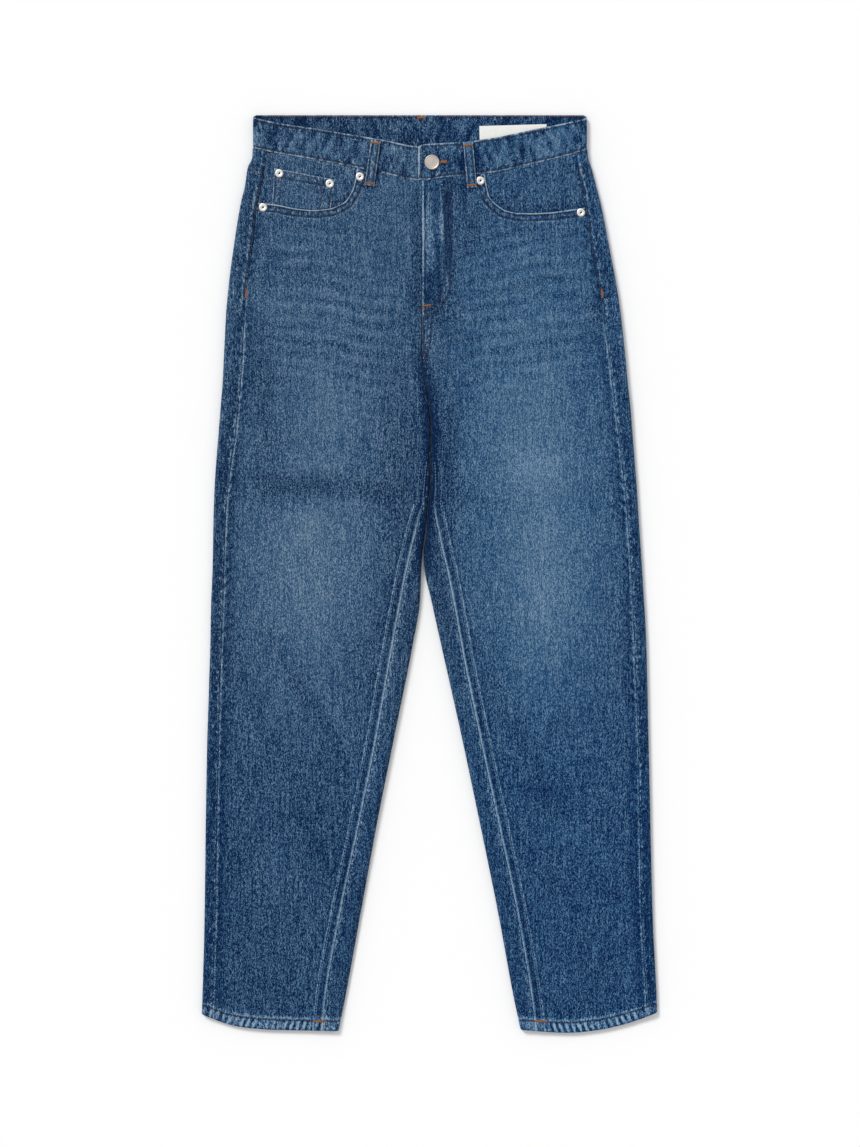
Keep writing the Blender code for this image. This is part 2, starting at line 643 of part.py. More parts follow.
def rivet(place):
    """Domed rivet with a dimple, seated on the cloth."""
    r = RIVET_RADIUS
    outs = (place.out - r, place.out, place.out + r)
    if place.seat == "coin":
        seat = max(facing_top(place.side, out, place.down) for out in outs) + SEAM_GAP + COIN_CLOTH
    else:
        seat = max(Section(place.side, place.down).top(out) for out in outs)
    profile = [(0.0, 0.0), (r, 0.0), (r, 0.5), (0.72 * r, 1.2), (0.42 * r, 0.85), (0.3 * r, 1.3), (0.0, 1.4)]
    centre = (SIGN[place.side] * place.out, LENGTH / 2 - place.down, seat + SEAM_GAP)
    return turned(place.name, profile, centre, 12, METAL)


def button():
    """Flat metal button with a rim, on the right end of the waistband."""
    section = Section("right", BAND_SECTION)
    seat = section.top(BUTTON_AT[0]) + LAP_DROP["right"] + SEAM_GAP
    r = BUTTON_RADIUS
    profile = [(0.0, 0.0), (0.82 * r, 0.0), (r, 0.7), (r, 1.4)]
    profile += [(0.88 * r, 2.0), (0.74 * r, 1.5), (0.4 * r, 1.6), (0.0, 1.8)]
    return turned("button", profile, (BUTTON_AT[0], LENGTH / 2 - BUTTON_AT[1], seat), 24, METAL)


def strip(name, loop, heights, thickness, colour):
    """A straight strip of cloth between two points, at the given heights along it."""
    length = hypot(loop.x_foot - loop.x_top, loop.down_foot - loop.down_top)
    across = ((loop.down_foot - loop.down_top) / length, (loop.x_foot - loop.x_top) / length)
    outer, inner = [], []
    for i, height in enumerate(heights):
        t = i / (len(heights) - 1)
        x = loop.x_top + (loop.x_foot - loop.x_top) * t
        down = loop.down_top + (loop.down_foot - loop.down_top) * t
        rows = [[], []]
        for half in (-0.5, 0.5):
            px = x + across[0] * half * LOOP_WIDTH
            py = LENGTH / 2 - down + across[1] * half * LOOP_WIDTH
            rows[0].append((px * MM, py * MM, (height + thickness) * MM))
            rows[1].append((px * MM, py * MM, height * MM))
        outer.append(rows[0])
        inner.append(rows[1])
    return wall(name, outer, inner, colour)


def front_loop(loop):
    """Belt loop over the front waistband, arched a little, its foot on the front panel."""
    side = "left" if loop.x_top < 0 else "right"
    band = Section(side, BAND_SECTION).top(abs(loop.x_top))
    foot = Section(side, loop.down_foot).top(abs(loop.x_foot))
    heights = []
    for i in range(LOOP_STEPS + 1):
        t = i / LOOP_STEPS
        seat = band + (foot - band) * smooth(t, LOOP_LANDS, 1.0)
        heights.append(seat + SEAM_GAP + LOOP_ARCH * sin(pi * t))
    return strip(loop.name, loop, heights, LOOP_CLOTH, DENIM)


def back_pocket(side):
    """Patch pocket on the back panel, which the part rests on."""
    middle, top = PATCH_AT[side]
    outline = [(middle + half, top + drop) for half, drop in PATCH]
    outline += [(middle - half, top + drop) for half, drop in PATCH[-2::-1]]
    data = bmesh.new()
    low, high = [[data.verts.new(spot(side, out, down, height)) for out, down in outline]
                 for height in (0.0, UNDER_CLOTH)]
    data.faces.new(low)
    data.faces.new(high)
    for k in range(len(outline)):
        n = (k + 1) % len(outline)
        data.faces.new((low[k], low[n], high[n], high[k]))
    return make_object("back_pocket_" + side, data, DENIM_DARK, rounded=False)


def label():
    """Bare white label on the inside of the back waistband."""
    long, wide, thick = LABEL_SIZE
    base = Section("right", BAND_SECTION).under + BAND_CLOTH + SEAM_GAP
    angle = LABEL_TURN * pi / 180.0
    outer, inner = [], []
    for v in (0.5, -0.5):
        rows = [[], []]
        for u in (-0.5, 0.5):
            x = LABEL_AT[0] + u * long * cos(angle) - v * wide * sin(angle)
            y = LENGTH / 2 - LABEL_AT[1] + u * long * sin(angle) + v * wide * cos(angle)
            rows[0].append((x * MM, y * MM, (base + thick) * MM))
            rows[1].append((x * MM, y * MM, base * MM))
        outer.append(rows[0])
        inner.append(rows[1])
    return wall("label", outer, inner, WHITE)


def zip_fastener():
    """Closed zip under the fly: a tape with its chain along the middle."""
    outer, inner = [], []
    for i in range(ZIP_STEPS + 1):
        down = ZIP_DOWN[0] + (ZIP_DOWN[1] - ZIP_DOWN[0]) * i / ZIP_STEPS
        section = Section("right", down)
        rows = [[], []]
        for across in ZIP_ACROSS:
            out = across - CENTRE_FRONT
            tape = section.top(out) - CLOTH - SEAM_GAP
            chain = ZIP_RISE if across in ZIP_CHAIN else 0.0
            rows[0].append(spot("right", out, down, tape + chain))
            rows[1].append(spot("right", out, down, tape - ZIP_CLOTH))
        outer.append(rows[0])
        inner.append(rows[1])
    return wall("zip", outer, inner, TAPE)


def clear_scene():
    for thing in list(bpy.data.objects):
        bpy.data.objects.remove(thing)


def build():
    clear_scene()
    for side in SIDES:
        front(side)
        back(side)
        yoke(side)
        waistband(side)
        pocket_facing(side)
        back_pocket(side)
    coin_pocket()
    zip_fastener()
    label()
    for loop in FRONT_LOOPS:
        front_loop(loop)
    for loop in BACK_LOOPS:
        strip(loop.name, loop, [0.0, 0.0], UNDER_CLOTH, DENIM_DARK)
    for place in RIVETS:
        rivet(place)
    button()


build()
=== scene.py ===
from collections import namedtuple
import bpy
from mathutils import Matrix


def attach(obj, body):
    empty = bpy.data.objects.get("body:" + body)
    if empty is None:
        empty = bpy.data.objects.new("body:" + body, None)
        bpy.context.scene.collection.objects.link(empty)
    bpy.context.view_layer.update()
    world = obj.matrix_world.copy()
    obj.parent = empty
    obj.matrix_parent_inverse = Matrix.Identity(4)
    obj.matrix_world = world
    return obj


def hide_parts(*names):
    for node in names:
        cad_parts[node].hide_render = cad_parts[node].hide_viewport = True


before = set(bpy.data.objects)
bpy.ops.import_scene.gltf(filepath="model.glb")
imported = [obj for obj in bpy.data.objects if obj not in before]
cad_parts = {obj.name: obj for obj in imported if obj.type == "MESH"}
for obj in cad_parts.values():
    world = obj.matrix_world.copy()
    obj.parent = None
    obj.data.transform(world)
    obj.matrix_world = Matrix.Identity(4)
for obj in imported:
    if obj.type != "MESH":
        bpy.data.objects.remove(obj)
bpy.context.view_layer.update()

from types import SimpleNamespace

import bmesh
import bpy
import numpy as np
from mathutils import Vector
from mathutils.bvhtree import BVHTree

# Lengths are millimetres and MM turns them into metres. Left and right are the sides of the
# garment as it lies. `out` is the distance from the middle line towards a side's outseam, `down`
# the distance below the back waistband's top edge, and `along` runs round one leg's wall.
MM = 0.001
PI = np.pi
LENGTH = 1037.0
CLOTH = 1.1
HEM_CLOTH = 2.2
HEM_DEPTH = 12.0
BAND_CLOTH = 2.4
SEAM_GAP = 0.3
BAND_GAP = 0.4
LEG_GAP = 0.5
TOP_ROW = 140.0
LOW_ROW = 985.0

FOLD_REACH = 26.0
CALM_EDGE = 20.0
FELL_WIDTH = 11.6
FELL_RISE = 0.6
FELL_FROM = (440.0, 470.0)
CENTRE_FRONT = 8.5
VALLEY = (262.0, 330.0)
UNDER_VALLEY = (296.0, 345.0)
CROTCH = 300.0
FRONT_DIP = (268.0, 292.0)
BACK_TURN = (290.0, 300.0)
INSEAM_ON_TOP = 430.0
SEAM_DEPTH = 0.78
FLY_WIDTH = 34.0
FLY_RETURN = 9.0
FLY_LIFT = 1.4
FLY_LAP = 8.0
FLY_END = (205.0, 235.0)
LAP_END = (188.0, 203.0)

def named(kind, rows):
    """A table whose rows have named columns."""
    return [kind(*row) for row in rows]


Leg = namedtuple("Leg", "down outer outseam inner inseam")
LEGS = {
    "left": named(Leg, [
        (30, 199.5, 182, 8.5, 8.5), (48, 200.5, 184, 8.5, 8.5), (60, 205.6, 186, 8.5, 8.5),
        (80, 208.7, 190, 8.5, 8.5), (100, 213.5, 194, 8.5, 8.5), (150, 221.5, 200, 8.5, 8.5),
        (210, 228.9, 208, 8.5, 8.5), (270, 232.4, 211, 8.5, 8.5), (300, 233.8, 213, 5.0, 5.0),
        (330, 236.2, 216, 0.2, 0.2), (360, 238.6, 219, -1.7, -1.7), (390, 241.0, 223.5, -1.3, -1.3),
        (420, 242.9, 227, -0.4, 0.0), (450, 244.1, 230, 2.3, 9.3), (480, 244.8, 231, 5.3, 17.4),
        (495, 245.0, 231.5, 7.0, 21.0), (510, 245.3, 232, 8.3, 24.5), (550, 246.9, 233, 10.5, 32.3),
        (600, 247.9, 235, 18.9, 41.5), (700, 251.1, 238, 38.9, 59.0), (800, 253.1, 240, 58.9, 79.0),
        (900, 254.3, 241.5, 77.2, 100.0), (1000, 257.0, 245, 95.5, 117.4),
        (1037, 258.0, 246, 103.0, 120.5),
    ]),
    "right": named(Leg, [
        (30, 178.0, 161, -8.5, -8.5), (48, 179.5, 163, -8.5, -8.5), (60, 183.2, 165.5, -8.5, -8.5),
        (80, 188.3, 171, -8.5, -8.5), (100, 193.5, 175, -8.5, -8.5), (150, 203.5, 182.5, -8.5, -8.5),
        (210, 214.2, 193.5, -8.5, -8.5), (270, 221.3, 202.5, -8.5, -8.5), (300, 223.9, 206, -5.0, -5.0),
        (330, 227.2, 210, -0.2, -0.2), (360, 229.6, 213.5, 1.7, 1.7), (390, 232.0, 217, 1.3, 1.3),
        (420, 234.4, 220.5, 0.4, 0.8), (450, 236.3, 223.5, -2.3, 5.4), (480, 238.2, 225.5, -5.3, 11.7),
        (495, 239.3, 226.5, -7.0, 15.0), (510, 240.2, 227.5, -6.3, 18.7), (550, 242.7, 229.5, 2.2, 26.8),
        (600, 245.3, 231.5, 13.2, 35.8), (700, 247.7, 235.5, 35.5, 56.1), (800, 249.9, 237.5, 56.6, 77.6),
        (900, 252.2, 239.5, 77.0, 98.5), (1000, 257.0, 245, 95.5, 115.5),
        (1037, 258.0, 247, 103.5, 119.8),
    ]),
}
Lay = namedtuple("Lay", "down under fold middle")
LAYS = named(Lay, [(0, 1.4, 8.9, 7.9), (60, 1.4, 8.9, 7.4), (160, 1.4, 9.0, 7.2), (320, 1.4, 9.0, 7.0),
        (400, 0.0, 8.4, 5.9), (700, 0.0, 8.0, 5.8), (1000, 0.0, 7.4, 5.8), (1037, 0.0, 7.2, 6.0)])

# Soft ridges and troughs of the solids
Crease = namedtuple("Crease", "x down half_long half_wide turn rise")
CREASES = named(Crease, [
    (-141, 424, 78, 22, -2, -1.3), (-135, 392, 70, 22, 3, 0.9),
    (-140, 458, 66, 24, -4, 0.9), (146, 430, 74, 24, 8, -1.0),
    (140, 396, 66, 24, 6, 0.8), (150, 466, 66, 26, 9, 0.7),
    (-150, 150, 62, 16, -7, 0.9), (-128, 186, 70, 16, -4, -0.8),
    (-140, 222, 66, 18, 2, 0.9), (-120, 262, 70, 20, 8, -0.8),
    (120, 158, 66, 16, 12, 0.9), (112, 196, 72, 16, 15, -0.8),
    (122, 234, 72, 18, 18, 1.0), (104, 276, 66, 20, 20, -0.8),
    (-150, 640, 60, 34, 6, -0.6), (160, 700, 60, 36, -8, -0.6),
    (-170, 860, 50, 40, 10, 0.6), (175, 880, 50, 40, -12, 0.6),
])

Band = namedtuple("Band", "out top bottom")
BANDS = {
    "left": named(Band, [(-20, 36.0, 69.0), (11, 35.8, 74.0), (50, 28.9, 66.6), (91, 22.0, 58.2),
             (132, 15.3, 50.4), (173, 9.0, 43.3), (199, 3.4, 37.9)]),
    "right": named(Band, [(-13, 36.6, 74.0), (-6, 33.6, 74.0), (16, 32.3, 71.0), (37, 31.0, 69.0),
              (72, 26.3, 65.2), (112, 18.1, 56.6), (153, 9.6, 46.8), (178, 4.5, 40.0)]),
}
BAND_HEIGHT = 36.0
BAND_SEAM = 2.4
BAND_INSIDE = 0.13
BAND_SECTION = 20.0
LAP = {"left": -20.0, "right": -13.0}
LAP_DROP = {"left": -1.25, "right": 1.5}
LAP_RAMP = {"left": (14.0, 22.0), "right": (22.0, 36.0)}

Mouth = namedtuple("Mouth", "out down")
MOUTHS = {
    "left": named(Mouth, [(193.8, 99.6), (173.0, 101.5), (152.5, 105.7), (132.0, 107.7),
             (110.5, 105.6), (95.0, 98.0), (86.8, 84.4), (83.6, 72.0),
             (82.0, 60.3)]),
    "right": named(Mouth, [(175.6, 105.0), (162.0, 107.0), (140.0, 110.0), (119.0, 111.2),
              (98.9, 111.0), (85.0, 107.7), (74.0, 100.0), (67.2, 91.5),
              (62.0, 66.6)]),
}
FACING_CLOTH = 1.0
FACING_UNDER = 14.0
FACING_EDGE = 5.0
FACING_DROP = (0.4, CLOTH + SEAM_GAP)
FACING_PAST = 12.0
COIN_TOP = named(Mouth, [(175.2, 60.4), (106.8, 73.5)])
COIN_FOOT = (178.0, 111.3)
COIN_CLOTH = 0.9
COIN_WIDTH = 69.0
HEMS = {
    "left": named(Mouth, [(101.0, 1035.0), (175.0, 1033.6), (202.0, 1031.7), (223.0, 1028.3),
             (257.2, 1016.0)]),
    "right": named(Mouth, [(102.0, 1033.6), (155.0, 1037.0), (188.0, 1034.0), (216.0, 1028.3),
              (234.5, 1022.7), (258.0, 1013.6)]),
}
HEM_SECTION = 1020.0
YOKE_SIDE = 61.5
YOKE_MIDDLE = 100.0
OUTER_RUN = 10
FELL_STEPS = 3
SIGN = {"left": -1.0, "right": 1.0}
SIDES = ("left", "right")
RIVET_RADIUS = 4.65
BUTTON_RADIUS = 8.5
BUTTON_AT = (2.8, 54.2)
LABEL_AT = (94.6, 22.4)
LABEL_SIZE = (76.0, 22.0)
LABEL_TURN = 1.6


# Working tools

def smooth(value, start, end):
    """0 up to start and 1 from end on, or the other way round, with no corner between."""
    t = np.clip((np.asarray(value, float) - start) / (end - start), 0.0, 1.0)
    return t * t * (3.0 - 2.0 * t)


def bell(value, width):
    """1 at 0, falling away evenly over about the given width."""
    return np.exp(-(np.asarray(value) / width) ** 2)


def bells(at, *rows):
    """Sum of bells along a distance: each row is a place, a width and a height."""
    return sum(height * bell(at - place, width) for place, width, height in rows)


def broken(rows, at):
    """Height of a broken line at a place: each row is a place and a height."""
    return np.interp(at, *np.transpose(rows))


def read(table, key, column, at):
    """Read one column of a table on a curve through its rows that doesn't overshoot them."""
    keys = np.array([getattr(row, key) for row in table], float)
    values = np.array([getattr(row, column) for row in table], float)
    at = np.clip(at, keys[0], keys[-1])
    i = np.clip(np.searchsorted(keys, at, side="right") - 1, 0, len(keys) - 2)
    chords = np.diff(values) / np.diff(keys)
    before, after = chords[:-1], chords[1:]
    both = np.where(before + after == 0, 1, before + after)
    inner = np.where(before * after <= 0.0, 0.0, 2.0 * before * after / both)
    slopes = np.concatenate([chords[:1], inner, chords[-1:]])
    width = keys[i + 1] - keys[i]
    t = (at - keys[i]) / width
    return ((1 + 2 * t) * (1 - t) ** 2 * values[i] + t * (1 - t) ** 2 * width * slopes[i]
            + t * t * (3 - 2 * t) * values[i + 1] + t * t * (t - 1) * width * slopes[i + 1])


def noise(u, v, seed):
    """Even value noise from -1 to 1, one lump for each unit."""
    table = np.random.default_rng(seed).uniform(-1.0, 1.0, (257, 257))
    iu, iv = np.floor(u).astype(int), np.floor(v).astype(int)
    fu, fv = u - iu, v - iv
    fu, fv = fu * fu * (3 - 2 * fu), fv * fv * (3 - 2 * fv)

    def corner(a, b):
        return table[(iu + a) % 257, (iv + b) % 257]

    low = corner(0, 0) * (1 - fu) + corner(1, 0) * fu
    high = corner(0, 1) * (1 - fu) + corner(1, 1) * fu
    return low * (1 - fv) + high * fv


def folds(table, x, down, bent=0.0):
    """Height of the soft ridges and troughs of a table, bent a little along their way."""
    total = np.zeros(np.broadcast(x, down).shape)
    for crease in table:
        angle = np.radians(crease.turn)
        dx, dy = x - crease.x, crease.down - down
        bend = bent * np.sin(crease.x + dx / 21.0)
        long = np.clip((dx * np.cos(angle) + dy * np.sin(angle)) / crease.half_long, -1, 1)
        wide = np.clip((dy * np.cos(angle) - dx * np.sin(angle) + bend) / crease.half_wide, -1, 1)
        total += crease.rise * (1 - long * long) ** 2 * (0.5 + 0.5 * np.cos(PI * wide))
    return total


def section(side, down, reach=0.0):
    """The flattened tube of one leg, cut across at each of the given heights."""
    down = np.asarray(down, float)
    s = SimpleNamespace(side=side, down=down)
    for table, kind in ((LEGS[side], Leg), (LAYS, Lay)):
        for column in kind._fields[1:]:
            setattr(s, column, read(table, "down", column, down))
    s.inner = s.inner + LEG_GAP / 2 - reach
    s.valley = smooth(down, *VALLEY)
    s.radius = (s.fold - s.under) / 2
    s.top_round = s.radius * s.valley
    s.under_round = s.radius * smooth(down, *UNDER_VALLEY)
    s.start = s.outer - s.radius
    s.inner_top = top(s, s.inner + s.top_round)
    wide = s.start - s.inner
    wall = s.inner_top - s.under - s.top_round - s.under_round
    lengths = [wide - s.top_round, PI / 2 * s.top_round, wall, PI / 2 * s.under_round,
               wide - s.under_round, PI * s.radius]
    s.marks = [np.zeros_like(down)]
    for length in lengths:
        s.marks.append(s.marks[-1] + length)
    return s


def band_section(side):
    return section(side, np.array(BAND_SECTION))


def top(s, out):
    """Height of the top surface."""
    from_outer, from_inner = s.outer - out, out - s.inner
    edge = 1.0 - smooth((from_outer - s.radius) / (FOLD_REACH - s.radius), 0.0, 1.0)
    edge = edge + s.valley * (1.0 - smooth((from_inner - s.radius) / (FOLD_REACH - s.radius), 0.0, 1.0))
    calm = smooth((from_outer - s.radius) / CALM_EDGE, 0.0, 1.0)
    calm = calm * (1.0 - s.valley * (1.0 - smooth((from_inner - s.radius) / CALM_EDGE, 0.0, 1.0)))
    return s.middle + (s.fold - s.middle) * edge + folds(CREASES, SIGN[s.side] * out, s.down) * calm


def place(s, along, inset):
    """Out and height of places on the wall, moved inwards by inset."""
    m = s.marks
    along = np.where(along > m[6], along - m[6], along)
    inset = np.broadcast_to(inset, along.shape)
    on_top = along <= m[1]
    flat = (along >= m[4]) & (along <= m[5])
    upper = (along <= m[3]) & ~on_top & ~flat
    lower = (along <= m[4]) & ~on_top & ~flat & ~upper
    top_out = s.start - along
    safe = np.maximum(s.top_round, 1e-9)
    turn = np.where(s.top_round < 1e-6, PI / 2, np.minimum((along - m[1]) / safe, PI / 2))
    centre = np.maximum(s.top_round, inset)
    arm = centre - inset
    upper_out = s.inner + centre - arm * np.sin(turn)
    upper_high = s.inner_top - centre + arm * np.cos(turn) - np.maximum(along - m[2], 0.0)
    turn = (along - m[3]) / np.maximum(s.under_round, 1e-9)
    centre = np.maximum(s.under_round, inset)
    arm = centre - inset
    lower_out = s.inner + centre - arm * np.cos(turn)
    lower_high = s.under + centre - arm * np.sin(turn)
    turn = (along - m[5]) / s.radius
    arm = s.radius - inset
    cases = [on_top, flat, upper, lower]
    out = np.select(cases, [top_out, s.inner + s.under_round + along - m[4], upper_out, lower_out],
                    s.start + arm * np.sin(turn))
    high = np.select(cases, [top(s, top_out) - inset, s.under + inset, upper_high, lower_high],
                     s.under + s.radius - arm * np.cos(turn))
    return out, high


def seam_along(s):
    """Where the front's inner edge meets the back's."""
    m = s.marks
    below = 1.0 - smooth(s.down, CROTCH, INSEAM_ON_TOP)
    depth = np.where(s.down <= CROTCH, smooth(s.down, *FRONT_DIP), below)
    return np.minimum(s.start - s.inseam, m[1]) + depth * SEAM_DEPTH * (m[4] - m[1])


def fly_lift(side, out, down):
    if side == "left":
        return 0.0 * out
    across = 1.0 - smooth(out + CENTRE_FRONT, FLY_WIDTH, FLY_WIDTH + FLY_RETURN)
    return FLY_LIFT * across * (1.0 - smooth(down, *FLY_END))


def fly_lap(side, down):
    return FLY_LAP * (1.0 - smooth(down, *LAP_END)) if side == "left" else 0.0 * np.asarray(down, float)


def mouth_down(side, out):
    return broken(MOUTHS[side][::-1], out)


def band_bottom(side, out):
    return read(BANDS[side], "out", "bottom", out)


def points(side, out, down, high):
    """Points of the part in metres, stacked in one array."""
    out, down, high = np.broadcast_arrays(out, down, high)
    return np.stack([SIGN[side] * out, LENGTH / 2 - down, high], axis=-1) * MM


# Fine creases of the scene, on top of the solids' own

FINE = named(Crease, [
    (-196, 176, 34, 7, 38, 0.5), (-182, 196, 44, 8, 26, -0.45), (-168, 214, 50, 8, 20, 0.5),
    (-186, 246, 40, 9, 12, -0.4), (-150, 276, 58, 9, 6, 0.45), (-172, 306, 46, 10, 2, -0.4),
    (-98, 246, 54, 9, 12, 0.45), (-80, 286, 58, 9, 22, -0.5), (-62, 318, 52, 9, 30, 0.45),
    (-56, 356, 44, 10, 38, -0.45), (-120, 330, 66, 10, 10, 0.35),
    (178, 186, 36, 7, -30, 0.5), (160, 208, 46, 8, -16, -0.45), (176, 240, 44, 9, -6, 0.45),
    (60, 262, 48, 8, -24, -0.45), (70, 296, 54, 9, -30, 0.5), (56, 334, 48, 9, -38, -0.45),
    (150, 292, 60, 9, 10, 0.45), (166, 322, 52, 10, 14, -0.4), (110, 340, 62, 10, 16, 0.35),
    (-196, 404, 36, 9, -8, 0.5), (-176, 438, 46, 8, -2, -0.5), (-110, 412, 48, 9, 2, -0.45),
    (-92, 440, 52, 9, 6, 0.5), (-168, 476, 52, 9, -8, 0.45), (-104, 484, 46, 10, 4, -0.4),
    (-60, 430, 32, 9, 18, -0.45), (188, 412, 38, 9, 12, 0.5), (170, 446, 46, 9, 12, -0.45),
    (104, 418, 46, 9, 2, -0.45), (96, 452, 48, 9, -4, 0.45), (176, 486, 46, 9, 12, 0.4),
    (108, 488, 44, 10, 2, -0.35), (-200, 560, 40, 12, 60, 0.35), (-120, 560, 60, 14, 84, 0.3),
    (130, 560, 70, 14, -84, 0.3), (196, 590, 44, 12, -62, 0.35), (-186, 690, 56, 14, 76, 0.35),
    (-150, 760, 62, 14, 84, -0.3), (150, 780, 66, 14, -82, -0.3), (186, 720, 56, 14, -74, 0.35),
    (-190, 930, 48, 14, 80, -0.35), (-140, 960, 44, 12, 66, 0.35), (150, 950, 50, 12, -70, 0.35),
    (206, 960, 44, 12, -82, -0.3),
])


def lumps(x, down, seed):
    """Uneven stretched waves of a cloth that has been put on and then laid down."""
    return (0.22 * noise(x / 34.0 + 40, down / 52.0, seed)
            + 0.13 * noise(x / 13.0 + 40, down / 30.0, seed + 1)
            + 0.06 * noise(x / 5.0 + 80, down / 11.0, seed + 2))


def ripples(x, down):
    """Faint waves that run across the hips from seam to seam, as sitting wears them in."""
    wander = 0.3 * noise(x / 60.0 + 20, down / 60.0, 7) + 0.12 * noise(x / 15.0 + 20, down / 30.0, 8)
    sag = np.where(x < 0, 0.14 * (x + 120), -0.2 * (x - 110))
    wave = np.sin(2 * PI * ((down - sag) / 16.5 + wander))
    inside = smooth(np.abs(x), 24, 52) * (1 - smooth(np.abs(x), 168, 205))
    size = 0.55 + 0.45 * noise(x / 38.0 + 7, down / 24.0, 9)
    return wave * size * inside * smooth(down, 112, 140) * (1 - smooth(down, 292, 345))


def fine_creases(x, down):
    return 0.16 * ripples(x, down) + folds(FINE, x, down, 3.0)


def puckers(along, across, reach, period, seed):
    """Small slanting bulges beside a line of sewing, each of its own size."""
    phase = along / period + 0.35 * across / reach
    size = 0.55 + 0.45 * noise(along / period, 0.0 * along + seed, seed)
    return size * np.sin(2 * PI * phase) * bell(across, reach)


def to_line(x, y, line):
    """Distance from points to a broken line, and the length along the line at the nearest place."""
    best = np.full(np.broadcast(x, y).shape, 1e9)
    along = np.zeros_like(best)
    gone = 0.0
    for (ax, ay), (bx, by) in zip(line[:-1], line[1:]):
        dx, dy = bx - ax, by - ay
        length = max(np.hypot(dx, dy), 1e-9)
        t = np.clip(((x - ax) * dx + (y - ay) * dy) / length ** 2, 0, 1)
        far = np.hypot(x - ax - dx * t, y - ay - dy * t)
        near = far < best
        best = np.where(near, far, best)
        along = np.where(near, gone + t * length, along)
        gone += length
    return best, along


# Meshes

def mesh_of(name, verts, faces):
    mesh = bpy.data.meshes.new(name)
    mesh.from_pydata(np.asarray(verts).tolist(), [], faces)
    return mesh


def panel(name, nodes, outer, inner, fields, slots=("denim", "denim_inside"), stride=4, inside=()):
    """A closed shell: a fine outer grid, a coarser inner one, and a rim between them.

    The inner grid has the outer one's fields, or its own where inside names one.
    """
    own = dict(inside)
    rows, columns = outer.shape[:2]
    pick_rows = sorted({*range(0, rows - 1, stride), rows - 1})
    pick_columns = sorted({*range(0, columns - 1, stride), columns - 1})
    coarse = inner[np.ix_(pick_rows, pick_columns)]
    low_rows, low_columns = coarse.shape[:2]
    count = rows * columns
    verts = np.concatenate([outer.reshape(-1, 3), coarse.reshape(-1, 3)])

    def quads(high, wide, first):
        i, j = np.meshgrid(np.arange(high - 1), np.arange(wide - 1), indexing="ij")
        a = (first + i * wide + j).ravel()
        return np.stack([a, a + 1, a + wide + 1, a + wide], axis=-1).tolist()

    faces = quads(rows, columns, 0)
    outer_faces = len(faces)
    faces += quads(low_rows, low_columns, count)
    inner_faces = len(faces)
    rim = []
    for a, b in zip(range(low_columns - 1), range(1, low_columns)):
        for row, low_row in ((0, 0), (rows - 1, low_rows - 1)):
            high = [row * columns + j for j in range(pick_columns[a], pick_columns[b] + 1)]
            rim.append(high + [count + low_row * low_columns + b, count + low_row * low_columns + a])
    for a, b in zip(range(low_rows - 1), range(1, low_rows)):
        for column, low_column in ((0, 0), (columns - 1, low_columns - 1)):
            high = [i * columns + column for i in range(pick_rows[a], pick_rows[b] + 1)]
            rim.append(high + [count + b * low_columns + low_column, count + a * low_columns + low_column])
    faces += rim
    mesh = mesh_of(name, verts, faces)
    indices = np.zeros(len(faces), int)
    indices[outer_faces:inner_faces] = len(slots) - 1
    mesh.polygons.foreach_set("material_index", indices)
    for field, values in fields.items():
        layer = mesh.attributes.new(field, "FLOAT", "POINT")
        both = np.zeros(len(verts), np.float32)
        both[:count] = np.broadcast_to(values, (rows, columns)).ravel()
        inner_values = np.broadcast_to(own.get(field, values), (rows, columns))
        both[count:] = inner_values[np.ix_(pick_rows, pick_columns)].ravel()
        layer.data.foreach_set("value", both)
    finish_piece(name, mesh, nodes, slots)


def finish_piece(name, mesh, nodes, slots, angle=1.1):
    """Even out a mesh's faces and put it into the scene on the frame's body."""
    data = bmesh.new()
    data.from_mesh(mesh)
    bmesh.ops.recalc_face_normals(data, faces=data.faces)
    data.to_mesh(mesh)
    data.free()
    mesh.shade_smooth()
    mesh.set_sharp_from_angle(angle=angle)
    for slot in slots:
        mesh.materials.append(MATERIALS[slot])
    thing = bpy.data.objects.new(name, mesh)
    bpy.context.scene.collection.objects.link(thing)
    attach(thing, "root")
    if nodes:
        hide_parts(*nodes)


# Materials

# Record slots of the materials whose own name is none
MATERIALS = {}


def linear(colour):
    """Scene values of a colour that is given as it looks on a screen, from 0 to 255."""
    part = np.array(colour, float) / 255.0
    return tuple(np.where(part <= 0.04045, part / 12.92, ((part + 0.055) / 1.055) ** 2.4)) + (1.0,)


